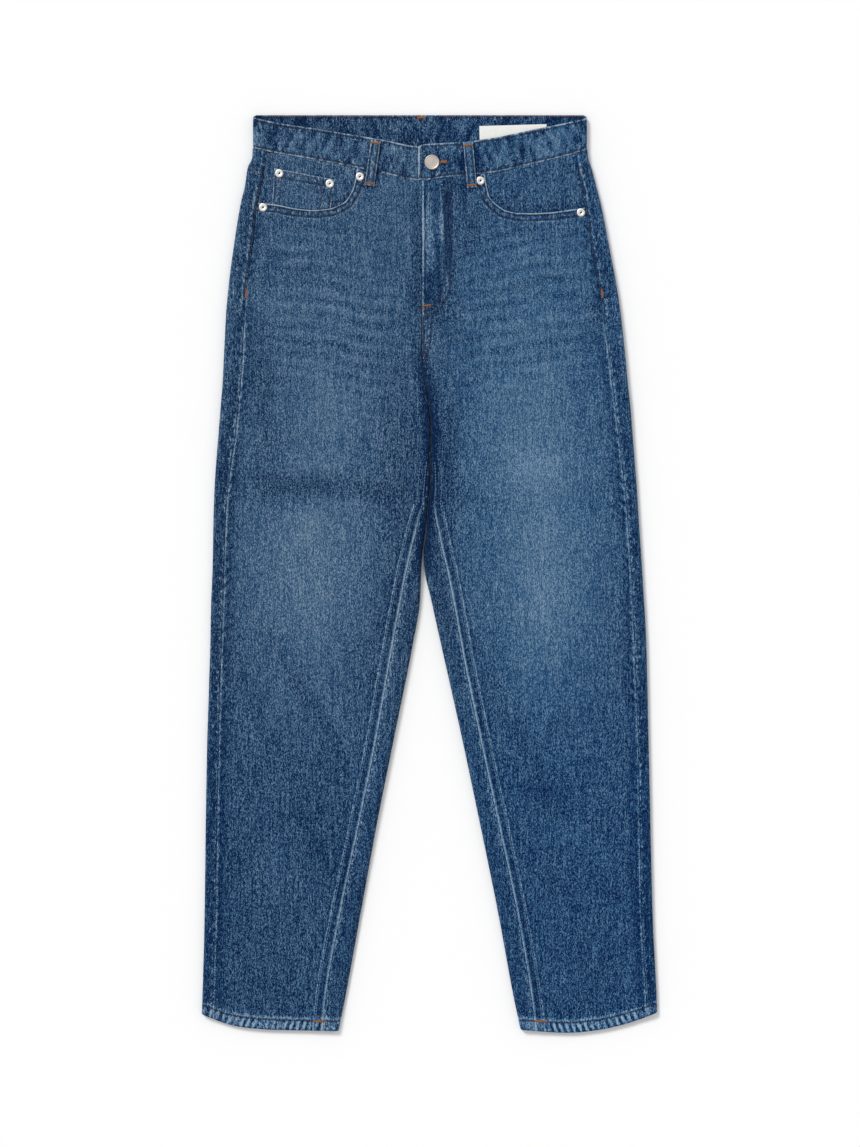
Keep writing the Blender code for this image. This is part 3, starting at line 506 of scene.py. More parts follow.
class Nodes:
    """A material that is put together node by node."""

    def __init__(self, name, roughness, metallic=0.0, specular=0.5, sheen=0.0):
        self.material = bpy.data.materials.new(name)
        self.material.use_nodes = True
        self.tree = self.material.node_tree
        self.shader = self.tree.nodes["Principled BSDF"]
        for socket, value in (("Roughness", roughness), ("Metallic", metallic),
                              ("Specular IOR Level", specular), ("Sheen Weight", sheen)):
            self.shader.inputs[socket].default_value = value
        self.place = self.add("ShaderNodeTexCoord").outputs["Object"]
        MATERIALS[name] = self.material

    def add(self, kind, **settings):
        node = self.tree.nodes.new(kind)
        for key, value in settings.items():
            setattr(node, key, value)
        return node

    def link(self, start, end):
        self.tree.links.new(start, end)

    def set(self, socket, value):
        """Link a socket to another one, or give it a plain value."""
        if isinstance(value, bpy.types.NodeSocket):
            self.link(value, socket)
        else:
            socket.default_value = value

    def math(self, operation, a, b=0.0, c=0.0):
        node = self.add("ShaderNodeMath", operation=operation)
        for socket, value in zip(node.inputs, (a, b, c)):
            self.set(socket, value)
        return node.outputs[0]

    def total(self, first, *pairs):
        """first plus each value times its share."""
        for value, share in pairs:
            first = self.math("MULTIPLY_ADD", value, share, first)
        return first

    def lumps(self, size, detail=2.0, place=None, turn=0.0):
        """A noise whose lumps have the given size in millimetres."""
        mapping = self.add("ShaderNodeMapping")
        mapping.inputs["Scale"].default_value = [1.0 / (MM * part) for part in size]
        mapping.inputs["Rotation"].default_value = (0.0, 0.0, turn)
        self.link(self.place if place is None else place, mapping.inputs["Vector"])
        node = self.add("ShaderNodeTexNoise")
        node.inputs["Scale"].default_value = 1.0
        node.inputs["Detail"].default_value = detail
        self.link(mapping.outputs[0], node.inputs["Vector"])
        return node

    def noise(self, *choices):
        """Noise about zero, from -0.5 to 0.5."""
        return self.math("SUBTRACT", self.lumps(*choices).outputs["Fac"], 0.5)

    def bent(self, size, reach):
        """Places that are moved about by up to reach millimetres, to make streaks wavy."""
        node = self.lumps(size)
        shift = self.add("ShaderNodeVectorMath", operation="MULTIPLY_ADD")
        self.link(node.outputs["Color"], shift.inputs[0])
        shift.inputs[1].default_value = (2 * reach * MM,) * 3
        self.link(self.place, shift.inputs[2])
        return shift.outputs[0]

    def field(self, name):
        return self.add("ShaderNodeAttribute", attribute_name=name).outputs["Fac"]

    def ramp(self, value, stops):
        node = self.add("ShaderNodeValToRGB")
        ramp = node.color_ramp
        while len(ramp.elements) < len(stops):
            ramp.elements.new(1.0)
        for element, (place, colour) in zip(ramp.elements, stops):
            element.position = place
            element.color = linear(colour)
        self.link(value, node.inputs[0])
        self.link(node.outputs[0], self.shader.inputs["Base Color"])
        return node.outputs[0]

    def rise(self, value, start, end, most):
        """From nought at start to most at end, without a corner."""
        node = self.add("ShaderNodeMapRange", interpolation_type="SMOOTHSTEP")
        for name, number in (("From Min", start), ("From Max", end), ("To Min", 0.0), ("To Max", most)):
            node.inputs[name].default_value = number
        self.link(value, node.inputs["Value"])
        return node.outputs["Result"]

    def tint(self, colour, amount, tint):
        """Multiply the colour by a tint, as far as the amount says."""
        node = self.add("ShaderNodeMix", data_type="RGBA", blend_type="MULTIPLY")
        self.link(amount, node.inputs[0])
        self.link(colour, node.inputs[6])
        node.inputs[7].default_value = (*tint, 1.0)
        self.link(node.outputs[2], self.shader.inputs["Base Color"])

    def bump(self, height, depth, strength=1.0):
        node = self.add("ShaderNodeBump")
        node.inputs["Strength"].default_value = strength
        node.inputs["Distance"].default_value = depth * MM
        self.link(height, node.inputs["Height"])
        self.link(node.outputs[0], self.shader.inputs["Normal"])


# Washed denim from deep navy to the pale grey-blue of worn places, as a screen shows it.
FACE = [(0.0, (7, 32, 67)), (0.06, (10, 41, 78)), (0.26, (30, 71, 112)), (0.5, (56, 92, 127)),
        (0.75, (90, 122, 153)), (1.0, (160, 181, 199))]
# The cloth is a little bluer towards the right leg and the hems
COOLER = (0.64, 1.0, 1.17)
INSIDE = [(0.0, (70, 86, 108)), (0.5, (112, 128, 148)), (1.0, (160, 170, 182))]


def denim(name, stops, depth):
    """Twill cloth: wavy streaks of pale warp, flecks, and the tones of its fields, which hold wear and
    painted shade.
    """
    n = Nodes(name, roughness=0.94, specular=0.06, sheen=0.02)
    wavy = n.bent((7.0, 9.0, 9.0), 1.5)
    streak = n.noise((0.62, 3.6, 30.0), 1.0, wavy)
    fleck = n.noise((0.6, 1.5, 3.0), 0.0, wavy, 0.5)
    grain = n.noise((0.5, 1.1, 3.0), 0.0)
    long_streak = n.noise((1.4, 34.0, 40.0), 1.0, wavy)
    cloud = n.noise((40.0, 52.0, 60.0), 3.0)
    patch = n.noise((9.0, 12.0, 20.0), 2.0)
    rope = n.noise((3.4, 4.4, 8.0), 1.0, wavy, 0.4)
    split = n.add("ShaderNodeSeparateXYZ")
    n.link(n.place, split.inputs[0])
    slant = n.math("MULTIPLY_ADD", split.outputs[1], 1.15, split.outputs[0])
    slant = n.math("MULTIPLY_ADD", patch, 0.0004, slant)
    twill = n.math("SINE", n.math("MULTIPLY", slant, 2.0 * PI / (0.95 * MM)))
    marks = n.total(0.0, (streak, 1.45), (fleck, 1.4), (grain, 0.8), (long_streak, 0.7), (twill, 0.03))
    contrast = n.math("MULTIPLY_ADD", n.field("tone"), -2.2, 2.5)
    contrast = n.math("MULTIPLY_ADD", n.field("worn"), -0.75, contrast)
    contrast = n.math("MINIMUM", n.math("MAXIMUM", contrast, 0.4), 2.1)
    most = n.math("MULTIPLY_ADD", n.field("tone"), -0.8, 0.82)
    marks = n.math("MINIMUM", n.math("MULTIPLY", marks, contrast), most)
    marks = n.math("MAXIMUM", marks, -0.27)
    tone = n.total(n.math("SUBTRACT", n.field("tone"), 0.07), (marks, 1.0), (cloud, 0.1), (patch, 0.1),
                   (n.math("MULTIPLY", rope, n.field("rope")), 1.25), (n.field("worn"), 0.55))
    right = n.rise(split.outputs[0], -0.04, 0.06, 0.5)
    low = n.rise(split.outputs[1], -0.04, -0.28, 0.55)
    cool = n.math("MULTIPLY", n.math("ADD", right, low), n.math("MULTIPLY_ADD", tone, -0.8, 1.2))
    n.tint(n.ramp(tone, stops), cool, COOLER)
    n.bump(n.total(0.0, (twill, 0.5), (streak, 1.5), (fleck, 1.5), (grain, 0.8), (patch, 0.8)), depth)


def plain(name, colour, roughness, metallic=0.0, grain=0.06, size=(0.5, 0.5, 0.5), specular=0.5, depth=0.0):
    """One colour with an uneven grain."""
    n = Nodes(name, roughness, metallic, specular)
    value = n.total(0.5, (n.noise(size), 1.0))
    pale = [min(255, part * (1 + grain)) for part in colour]
    dark = [part * (1 - grain) for part in colour]
    n.ramp(value, [(0.2, dark), (0.8, pale)])
    if depth:
        n.bump(value, depth)


denim("denim", FACE, 0.22)
denim("denim_inside", INSIDE, 0.2)
plain("metal", (196, 188, 181), 0.5, 1.0, 0.1, (1.2, 1.2, 1.2))
plain("metal_pale", (240, 238, 235), 0.42, 1.0, 0.06, (1.2, 1.2, 1.2))
plain("metal_dark", (58, 52, 48), 0.5, 1.0, 0.2, (1.2, 1.2, 1.2))
plain("zip_teeth", (150, 148, 140), 0.36, 1.0, 0.1)
plain("zip_tape", (36, 46, 66), 0.9, 0.0, 0.2, (0.6, 0.6, 2.0), 0.2, 0.1)
plain("label", (236, 236, 232), 0.8, 0.0, 0.03, (0.5, 6.0, 2.0), 0.2, 0.1)
plain("thread_brown", (60, 48, 42), 0.75, 0.0, 0.22, (0.5, 1.4, 1.0), 0.3)
plain("thread_orange", (142, 94, 56), 0.7, 0.0, 0.18, (0.5, 0.5, 0.5), 0.3)
plain("thread_blue", (96, 124, 152), 0.8, 0.0, 0.2, (0.6, 1.6, 1.0), 0.3)


# Tones of the cloth, paler where wear has faded it and darker in places, some of the dark ones painted shade
# beside the fly and the crotch: middle, half sizes, turn and how much paler

Patch = namedtuple("Patch", "x down half_wide half_long turn pale")
PATCHES = named(Patch, [
    (-118, 210, 60, 70, 6, 0.03), (-112, 300, 58, 66, 0, 0.07), (-112, 352, 44, 56, 0, 0.15),
    (-138, 520, 78, 88, -3, 0.24), (-140, 470, 62, 30, -3, 0.08), (-135, 418, 96, 11, 4, -0.13),
    (-60, 428, 30, 11, 8, -0.10), (-130, 640, 46, 90, -4, 0.12), (-158, 880, 30, 90, -6, 0.05),
    (-100, 820, 26, 130, -10, -0.05), (110, 330, 66, 92, -6, 0.20), (112, 440, 60, 90, 2, 0.16),
    (132, 540, 62, 92, 2, 0.27), (122, 620, 44, 80, 3, 0.10), (80, 443, 54, 12, 15, -0.11),
    (124, 410, 60, 44, 0, 0.11),
    (120, 190, 60, 60, 10, 0.05), (160, 700, 40, 70, 6, 0.05), (-190, 150, 30, 60, 20, -0.06),
    (-36, 290, 26, 90, 14, -0.06), (36, 260, 26, 90, -10, -0.06), (40, 130, 22, 40, 0, -0.14),
    # (18, 392) and (-20, 400) are painted shade on both sides of the valley between the legs
    (130, 120, 60, 34, 0, -0.05), (18, 392, 15, 84, 0, -0.14), (-20, 400, 15, 90, 0, -0.08),
    (-44, 410, 14, 100, 4, -0.12), (-138, 662, 10, 80, -30, -0.17), (-176, 640, 16, 60, -25, 0.07),
    (-132, 818, 14, 44, -22, -0.22), (-156, 784, 26, 14, 10, -0.07), (-180, 850, 20, 60, -5, 0.05),
    (96, 690, 12, 96, -29, -0.12), (128, 766, 30, 16, 16, -0.26), (150, 812, 34, 12, 6, 0.12),
    (130, 838, 30, 10, 22, -0.1), (3, 205, 22, 40, 0, -0.3), (-54, 560, 26, 120, 12, -0.07),
    # Painted shadow beside the fly, below the button and the waistband
    (27, 82, 24, 18, 0, -0.28),
    # (-13, 150) is a painted shadow line beside the left edge of the fly
    (-13, 150, 7, 66, 0, -0.26), (-190, 290, 18, 66, 0, -0.14), (190, 210, 14, 54, 10, -0.16),
    (-178, 390, 18, 90, 0, -0.08), (150, 425, 50, 14, 12, 0.04),
])
TONES = [(0, 0.50), (60, 0.50), (110, 0.46), (200, 0.50), (300, 0.48), (480, 0.46), (600, 0.42), (690, 0.36),
         (760, 0.32), (860, 0.26), (1037, 0.26)]


def tone_at(side, out, down, s):
    """Tone of the front of a leg."""
    x = SIGN[side] * out
    total = broken(TONES, down)
    for patch in PATCHES:
        angle = np.radians(patch.turn)
        dx, dy = x - patch.x, patch.down - down
        wide = (dx * np.cos(angle) - dy * np.sin(angle)) / patch.half_wide
        long = (dy * np.cos(angle) + dx * np.sin(angle)) / patch.half_long
        total = total + patch.pale * np.exp(-1.3 * (wide ** 2 + long ** 2))
    rise = folds(CREASES, x, down) + fine_creases(x, down)
    low = smooth(down, 250, 420)
    # by_fold and by_inseam: painted shade where the leg rounds over its outer and inner folded edges, partly
    # the darker dye of those edges as well
    by_fold = 1 - smooth(s.outer - out, 6, 36)
    by_inseam = (1 - smooth(out - s.inner, 12, 44)) * smooth(down, 270, 380)
    total = total + 0.075 * rise + 0.135 * ripples(x, down) - 0.15 * by_fold * (0.5 + 0.5 * low)
    total = total - 0.17 * by_inseam * (1 - 0.6 * smooth(down, 540, 640))
    # Painted shade in the valley between the legs below the crotch
    valley = 1 - smooth(out - s.inner, 1.5, 13.0)
    total = total - 0.75 * valley * smooth(down, 235, 300) * (1 - smooth(down, 500, 530))
    return total + loop_shade(x, down)


def loop_shade(x, down):
    """Painted shade on the cloth close beside a belt loop."""
    shade = 0.0
    for loop in FRONT_LOOPS:
        share = (down - loop.down_top) / (loop.down_foot - loop.down_top)
        far = np.abs(x - loop.x_top - (loop.x_foot - loop.x_top) * share) - LOOP_WIDTH / 2
        along = smooth(share, -0.02, 0.05) * (1 - smooth(share, 0.98, 1.1))
        shade = shade - 0.42 * (1 - smooth(far, 0.0, 6.5)) * along
    return shade


# Cloth panels

SEAM_SIDE = [0, 0.5, 1.1, 2.0, 3.2, 4.8, 6.8, 9.0]
FELL_SIDE = [0, 0.5, 1.1, 2.0, 3.4, 5.0, 6.8, 8.6, 10.2, 11.2, 12.2, 13.6]
HEM_ABOVE = [13.6, 12.4, 11.6, 10.9, 9.8, 8.2, 6.6, 5.0, 3.6, 2.4, 1.3, 0.5, 0.0]
HEM_LINE = 11.3


def shares(near_first, near_last, middle):
    """Share and offset of every column between a first and a last place."""
    a, b = near_first[-1], near_last[-1]
    t = np.linspace(0, 1, middle + 2)[1:-1]
    share = np.concatenate([np.zeros(len(near_first)), t, np.ones(len(near_last))])
    offset = np.concatenate([near_first, a * (1 - t) - b * t, -np.array(near_last)[::-1]])
    return share, offset


def curve(rows, at):
    """Smooth curve through rows of numbers, at places counted in rows."""
    rows = np.array(rows, float)
    slopes = np.gradient(rows, axis=0)
    i = np.clip(np.floor(at).astype(int), 0, len(rows) - 2)
    t = (at - i)[..., None]
    return ((1 + 2 * t) * (1 - t) ** 2 * rows[i] + t * (1 - t) ** 2 * slopes[i]
            + t * t * (3 - 2 * t) * rows[i + 1] + t * t * (t - 1) * slopes[i + 1])


def hem_edge(side, out):
    return read(HEMS[side], "out", "down", out)


def hem_rows(side, outs, steps):
    """Rows from the last level one down to the hem's edge, one height for each column."""
    edge = hem_edge(side, outs)
    first = edge - HEM_ABOVE[0]
    level = [LOW_ROW + (first - LOW_ROW) * k / steps for k in range(1, steps)]
    return np.stack(level + [edge - above for above in HEM_ABOVE])


def hem_relief(side, out, down):
    """The turned hem: a groove under its stitching, and slanting bulges below that."""
    above = hem_edge(side, out) - down
    inside = 1 - smooth(above, HEM_LINE - 0.5, HEM_LINE + 1.5)
    rope = puckers(out, above - 5.5, 6.5, 7.0, 61 if side == "left" else 62)
    relief = inside * (0.2 + 0.42 * rope) + bells(above, (HEM_LINE, 0.9, -0.35), (0, 0.7, -0.5))
    # Pale lines of wear on the hem, with painted shade along its bottom edge and in the groove of its
    # stitching
    worn = bells(above, (0.3, 1.3, -0.7), (HEM_LINE + 2.0, 1.4, 1.1), (HEM_LINE, 0.9, -1.0))
    return relief, worn + inside * (0.75 + 1.7 * rope), 0.8 * inside + 0.5 * bell(above - HEM_LINE - 3, 3.0)


def front_edge(side, j):
    """Out and down of the front's upper edge: the pocket mouth up to 8, then the waistband."""
    inner = (-CENTRE_FRONT if side == "right" else CENTRE_FRONT) + LEG_GAP / 2
    corner = MOUTHS[side][-1].out
    strip = inner + FELL_WIDTH
    outs = [corner, (corner + strip + 1.0) / 2, strip + 1.0]
    outs += [strip - FELL_WIDTH * i / FELL_STEPS for i in range(FELL_STEPS + 1)]
    rows = [tuple(row) for row in MOUTHS[side][:-1]] + [(corner, band_bottom(side, corner) + BAND_GAP)]
    mouth = curve(rows, np.clip(j, 0, 8))
    waist_out = np.interp(j, range(8, 15), outs)
    return (np.where(j <= 8, mouth[..., 0], waist_out),
            np.where(j <= 8, mouth[..., 1], band_bottom(side, waist_out) + BAND_GAP))


FLY_FOOT = (222, 232)
FRONT_SEED = {"left": 20, "right": 30}
FLY_STITCH = [[(17.5, 79), (17.5, 130), (16.9, 183), (15.6, 194), (13.2, 203), (9.4, 210.5), (4.6, 216),
               (-2, 220.5), (-7.6, 222.5)],
              [(24.3, 79), (24.2, 130), (23.7, 183), (22.6, 196), (19.4, 207), (13.6, 216.5), (6.4, 223),
               (-1, 227), (-7.6, 229)]]
CENTRE_STITCH = [[(-7.0, 232), (-6.6, 250), (-5.2, 268), (-4.4, 279)],
                 [(2.8, 232), (2.2, 246), (-1.2, 266), (-4, 277)]]

# Paler ridges of wear on the fly, and painted shade in its hollows
Ridge = namedtuple("Ridge", "x down half_wide half_long pale")
FLY_LOOK = named(Ridge, [(-0.8, 141, 6.0, 38, 0.4), (-2.0, 100, 2.0, 22, 0.3), (14.0, 112, 1.5, 44, 0.9),
            (-5.0, 92, 2.4, 16, -0.6), (8.0, 96, 4.0, 22, -0.6), (9.6, 168, 3.6, 44, -0.5),
            (20.6, 132, 5.0, 60, -0.7), (16.6, 186, 2.0, 20, 0.2), (0.5, 194, 7.0, 20, -0.45),
            (28.0, 118, 2.2, 36, 0.2), (6.4, 202, 2.4, 12, 0.25)])


def front_relief(side, out, down, beside_seam, beside_fell):
    """Relief of a front panel in millimetres, and the fields its colour is made from."""
    x = SIGN[side] * out
    seed = FRONT_SEED[side]
    down = np.broadcast_to(down, out.shape)
    quiet = smooth(beside_seam, 2, 16) * smooth(beside_fell, 10, 26)
    relief = (lumps(x, down, seed) + fine_creases(x, down)) * (0.3 + 0.7 * quiet)
    side_rope = puckers(down, beside_seam - 3.0, 4.2, 13.0, seed + 1)
    relief = relief + 0.2 * side_rope + bells(beside_seam, (2.0, 2.4, 0.22), (0, 0.6, -0.4))
    low = smooth(down, 225, 245)
    # Pale wear beside the side seam and the dark dashes of its roping, with painted shade in the seam line
    # and a broad painted shade beside it
    worn = bell(beside_seam - 1.0, 1.2) * (0.15 + 0.95 * low) + np.minimum(side_rope, 0)
    worn = worn - 0.25 * bell(beside_seam, 0.8) - 0.16 * low * bell(beside_seam - 6.0, 5.0)
    rope = 0.5 * bell(beside_seam - 3.0, 6.0) * (0.4 + 0.6 * low)

    # Felled strip along the inseam
    on = smooth(down, *FELL_FROM)
    strip = 1 - smooth(beside_fell, FELL_WIDTH - 1.0, FELL_WIDTH + 0.4)
    fell_rope = puckers(down, beside_fell - 6.0, 6.5, 8.2, seed + 2) * strip
    grooves = bells(beside_fell, (2.0, 0.8, -0.3), (8.8, 0.8, -0.3))
    relief = relief + on * (FELL_RISE * strip + 0.24 * fell_rope + grooves) - 0.4 * bell(beside_fell, 0.6)
    shown = smooth(down, 426, 446)
    # Pale lines of wear along the felled strip, which is darker itself, with painted shade in the groove of
    # one line of its stitching and just outside its edge
    lines = bells(beside_fell, (0.9, 1.1, 2.0), (11.0, 0.9, 1.3), (7.4, 0.8, 0.3), (12.8, 1.2, -0.35),
                  (9.2, 0.8, -0.3))
    worn = worn + shown * (lines - 0.35 * strip + 0.4 * fell_rope)
    rope = rope + shown * strip * 0.4

    # Turned edge of the pocket mouth
    far, gone = to_line(out, down, MOUTHS[side])
    inside = 1 - smooth(far, 8.0, 9.4)
    mouth_rope = puckers(gone, far - 4.5, 5.0, 8.0, seed + 3)
    relief = relief + inside * (0.3 + 0.25 * mouth_rope)
    relief = relief + bells(far, (8.0, 0.9, -0.3), (2.0, 0.7, -0.25), (0, 0.7, -0.4))
    # Pale wear on the turned edge of the mouth, with painted shade in the grooves of its two lines of
    # stitching
    worn = worn + bells(far, (0.7, 1.0, 1.5), (9.8, 1.2, 0.4), (8.2, 0.9, -0.9), (2.4, 0.8, -0.8))
    worn = worn + inside * 0.4 * mouth_rope
    rope = np.maximum(rope, 0.8 * inside)

    hem, hem_wear_and_shade, hem_rope = hem_relief(side, out, down)
    low = smooth(down, 980, 1000)
    relief, worn = relief + low * hem, worn + low * hem_wear_and_shade
    rope = np.maximum(rope, low * hem_rope)
    return fly_relief(x, down, beside_fell, relief, worn, rope) if side == "right" else (relief, worn, rope)


def fly_relief(x, down, beside_fell, relief, worn, rope):
    """Add the fly to the relief and the fields of the right front."""
    for lines, depth, width, pale, pale_at, pale_width in ((FLY_STITCH, 0.3, 0.9, 0.12, 2.0, 1.2),
                                                          (CENTRE_STITCH, 0.25, 0.8, 0.3, 1.8, 1.1)):
        for line in lines:
            near = to_line(x, down, line)[0]
            relief = relief - depth * bell(near, width)
            # Pale wear beside each line of stitching, and painted shade in its groove
            worn = worn + pale * bell(near - pale_at, pale_width) - 0.5 * bell(near, width)
    relief = relief + 0.45 * bell(x - 5.1, 2.6) * smooth(down, 100, 120) * (1 - smooth(down, 160, 182))
    relief = relief + 0.5 * bell(x - 14.0, 2.2) * smooth(down, 80, 92) * (1 - smooth(down, 146, 160))
    below = smooth(down, *FLY_FOOT)
    edge = 1 - below
    # A pale line of wear on the fly's edge, and a painted shadow line beside it
    worn = worn + edge * bells(beside_fell, (0.8, 1.1, 1.4), (2.8, 0.9, -0.6))
    for ridge in FLY_LOOK:
        within = 1 - smooth(np.abs(down - ridge.down), 0.55 * ridge.half_long, ridge.half_long)
        worn = worn + ridge.pale * bell(x - ridge.x - 0.03 * (down - ridge.down), ridge.half_wide) * within
    relief = relief + edge * 0.25 * puckers(down, beside_fell - 3, 3.5, 7.0, FRONT_SEED["right"] + 4)
    rope = np.maximum(rope, 0.25 * edge * (1 - smooth(x, 24, 32)))
    rope = np.maximum(rope, 0.6 * below * (1 - smooth(beside_fell, 10, 16)) * (down < CROTCH))
    return relief, worn, rope


def front(side):
    """Front panel, from the pocket mouth and the waistband to the hem."""
    share, offset = shares(SEAM_SIDE, FELL_SIDE, 78)
    level = np.linspace(TOP_ROW, LOW_ROW, 400)[:, None] + np.zeros(len(share))
    near = section(side, np.array([HEM_SECTION]))

    def columns(s):
        first, last = s.start - s.outseam + SEAM_GAP / 2, seam_along(s) - SEAM_GAP / 2
        return first, last, first + (last - first) * share + offset

    hem_outs = place(near, columns(near)[2], 0.0)[0]
    down = np.concatenate([level, hem_rows(side, hem_outs, 12)])
    s = section(side, down, fly_lap(side, down))
    first, last, along = columns(s)
    out, high = place(s, along, 0.0)
    relief, worn, rope = front_relief(side, out, down, along - first, last - along)
    out, high = place(s, along, -relief)
    above = hem_edge(side, out) - down
    inner_out, inner_high = place(s, along, np.where(above < HEM_DEPTH, HEM_CLOTH, CLOTH))
    lift = fly_lift(side, out, down)
    low_outer = points(side, out, down, high + lift)
    low_inner = points(side, inner_out, down, inner_high + lift)
    fields = [tone_at(side, out, down, s), worn, rope]

    below = section(side, np.array([TOP_ROW]), fly_lap(side, TOP_ROW))
    first, last, along = columns(below)
    strip, step = last - FELL_WIDTH, last - FELL_WIDTH - 1.0
    j = np.where(along <= step, (along - first) / (step - first) * OUTER_RUN,
                 np.where(along <= strip, OUTER_RUN + along - step,
                          OUTER_RUN + 1 + (along - strip) / FELL_WIDTH * FELL_STEPS))
    edge_out, edge_down = front_edge(side, j)
    t = np.concatenate([[0, 0.008, 0.018, 0.03, 0.045, 0.065], np.linspace(0.085, 1, 30)[:-1]])[:, None]
    down = edge_down + (TOP_ROW - edge_down) * t
    lap = fly_lap(side, down)
    out = edge_out + (place(below, along, 0.0)[0] + fly_lap(side, TOP_ROW) - edge_out) * t
    s = section(side, down, lap)
    out = out + (s.outseam - SEAM_GAP / 2 - out)[:, :1] * np.clip(1 - j, 0, 1)
    out = out - lap * np.maximum(j - OUTER_RUN, 0) / (FELL_STEPS + 1)
    beside = np.broadcast_to(last - along, out.shape)
    relief, worn, rope = front_relief(side, out, down, s.outseam - out, beside)
    high = top(s, out) + fly_lift(side, out, down)
    upper = [points(side, out, down, high + relief), points(side, out, down, high - CLOTH)]
    top_fields = [tone_at(side, out, down, s), worn, rope]
    names = ("tone", "worn", "rope")
    fields = {name: np.concatenate([np.broadcast_to(a, out.shape), b])
              for name, a, b in zip(names, top_fields, fields)}
    panel("cloth_front_" + side, ["front_" + side], np.concatenate([upper[0], low_outer]),
          np.concatenate([upper[1], low_inner]), fields)


BACK_EDGE = 12.0
# Shares of each stretch of the back at which its columns stand
BACK_PLAN = [(0, [0, 0.04, 0.09, 0.18, 0.3, 0.45, 0.62, 0.81]), (1, np.arange(56) / 56),
             (2, np.arange(14) / 14), (3, [0, 0.14, 0.28, 0.42, 0.55, 0.67, 0.77, 0.85, 0.91, 0.96, 1.0])]
BACK_SEGMENT = np.concatenate([np.full(len(ts), k) for k, ts in BACK_PLAN])
BACK_SHARE = np.concatenate([ts for k, ts in BACK_PLAN]).astype(float)


def back_places(s):
    """Places of the back's columns, from its inner edge round the underside to the outseam."""
    m = s.marks
    first = m[4] + smooth(s.down, *BACK_TURN) * (seam_along(s) + SEAM_GAP / 2 - m[4])
    flat = np.maximum(m[4], first + BACK_EDGE)
    ends = [first, flat, m[5], m[6], m[6] + s.start - s.outseam - SEAM_GAP / 2]
    shape = np.broadcast(s.down, BACK_SHARE).shape
    ends = np.stack([np.broadcast_to(end, shape) for end in ends])
    segment = np.broadcast_to(BACK_SEGMENT, (1, *shape))
    low, high = [np.take_along_axis(ends, segment + k, 0)[0] for k in (0, 1)]
    return low + (high - low) * BACK_SHARE


def under_tone(out, down):
    """Tone of the underside: paler over the seat and behind the thighs and knees."""
    total = broken(TONES, down)
    for centre, middle, half_wide, half_long, pale in ((104, 236, 62, 92, 0.16), (124, 540, 60, 120, 0.10)):
        total = total + pale * bell(np.hypot((out - centre) / half_wide, (down - middle) / half_long), 1.0)
    return total - 0.10 * bell(down - 330, 26) - 0.08 * (1 - smooth(out, 10, 60))


def back_relief(side, along, down, s, out):
    """Relief of a back panel or yoke, and the fields its colour is made from."""
    seed = 40 if side == "left" else 50
    x = SIGN[side] * out
    m = s.marks
    below = smooth(along, m[4] - 4, m[4]) * (1 - smooth(along, m[5], m[6]))
    upper = smooth(along, (m[5] + m[6]) / 2, m[6])
    wave = lumps(x, down, seed) + 0.7 * fine_creases(x + 40, down)
    beside = m[6] + s.start - s.outseam - SEAM_GAP / 2 - along
    side_rope = puckers(down, beside - 3.0, 4.2, 13.0, seed + 1)
    relief = upper * (0.4 * lumps(x, down, FRONT_SEED[side]) + bells(beside, (2.0, 2.4, 0.22), (0, 0.6, -0.4))
                      + 0.2 * side_rope)
    relief = relief + below * (np.clip(wave, -0.5, 0.35) - 0.36)
    relief = relief + (1 - upper) * (1 - below) * smooth(along, m[5], m[6]) * 0.3 * lumps(x, down, seed)
    low = smooth(down, 225, 245)
    # Pale wear beside the side seam, with painted shade in the seam line, beside it and in the groove of its
    # stitching
    worn = bell(beside - 1.0, 1.2) * (0.1 + 0.4 * low) + 0.6 * np.minimum(side_rope, 0)
    worn = worn + (1 - low) * bells(beside, (4.4, 1.2, 0.8), (2.0, 0.9, -0.6))
    worn = upper * (worn + bells(beside, (0, 0.8, -0.3), (7.0, 5.0, -0.2)))
    rope = upper * 0.8 * (bell(beside - 3.0, 6.0) + 0.4)
    hem, hem_wear_and_shade, hem_rope = hem_relief(side, out, down)
    low = smooth(down, 980, 1000)
    relief = relief + low * np.where(below > 0.5, np.minimum(hem, 0) * 0.8, hem)
    worn, rope = worn + low * hem_wear_and_shade, np.maximum(rope, low * hem_rope)
    front_tone = tone_at(side, out, down, s)
    around = np.maximum(upper, 1 - smooth(along, m[4] - 3, m[4] + 2))
    tone = under_tone(out, down) * (1 - around) + front_tone * around
    return relief, {"tone": tone, "worn": worn, "rope": rope}


def wrap(name, nodes, side, down, thick):
    """A panel whose rows follow the back's columns at the given heights."""
    s = section(side, down)
    along = back_places(s)
    out, high = place(s, along, 0.0)
    relief, fields = back_relief(side, along, down, s, out)
    inner_edge = along - along[:, :1]
    relief = relief - 0.4 * bell(inner_edge, 0.6)
    fields["worn"] = fields["worn"] + 0.55 * bell(inner_edge - 0.9, 1.3) * smooth(down, 300, 430)
    fields["rope"] = np.maximum(fields["rope"], 0.7 * bell(inner_edge - 3, 4) * smooth(down, 300, 430))
    bottom = s.under * (1 - smooth(high, s.under + 0.5, s.under + 2.5))
    out, high = place(s, along, -relief)
    inner_out, inner_high = place(s, along, thick)
    panel(name, nodes, points(side, out, down, np.maximum(high, bottom)),
          points(side, inner_out, down, inner_high), fields)


def yoke_seam(s, along):
    m = s.marks
    return YOKE_MIDDLE + (YOKE_SIDE - YOKE_MIDDLE) * smooth((along - m[4]) / (m[5] - m[4]), 0, 1)


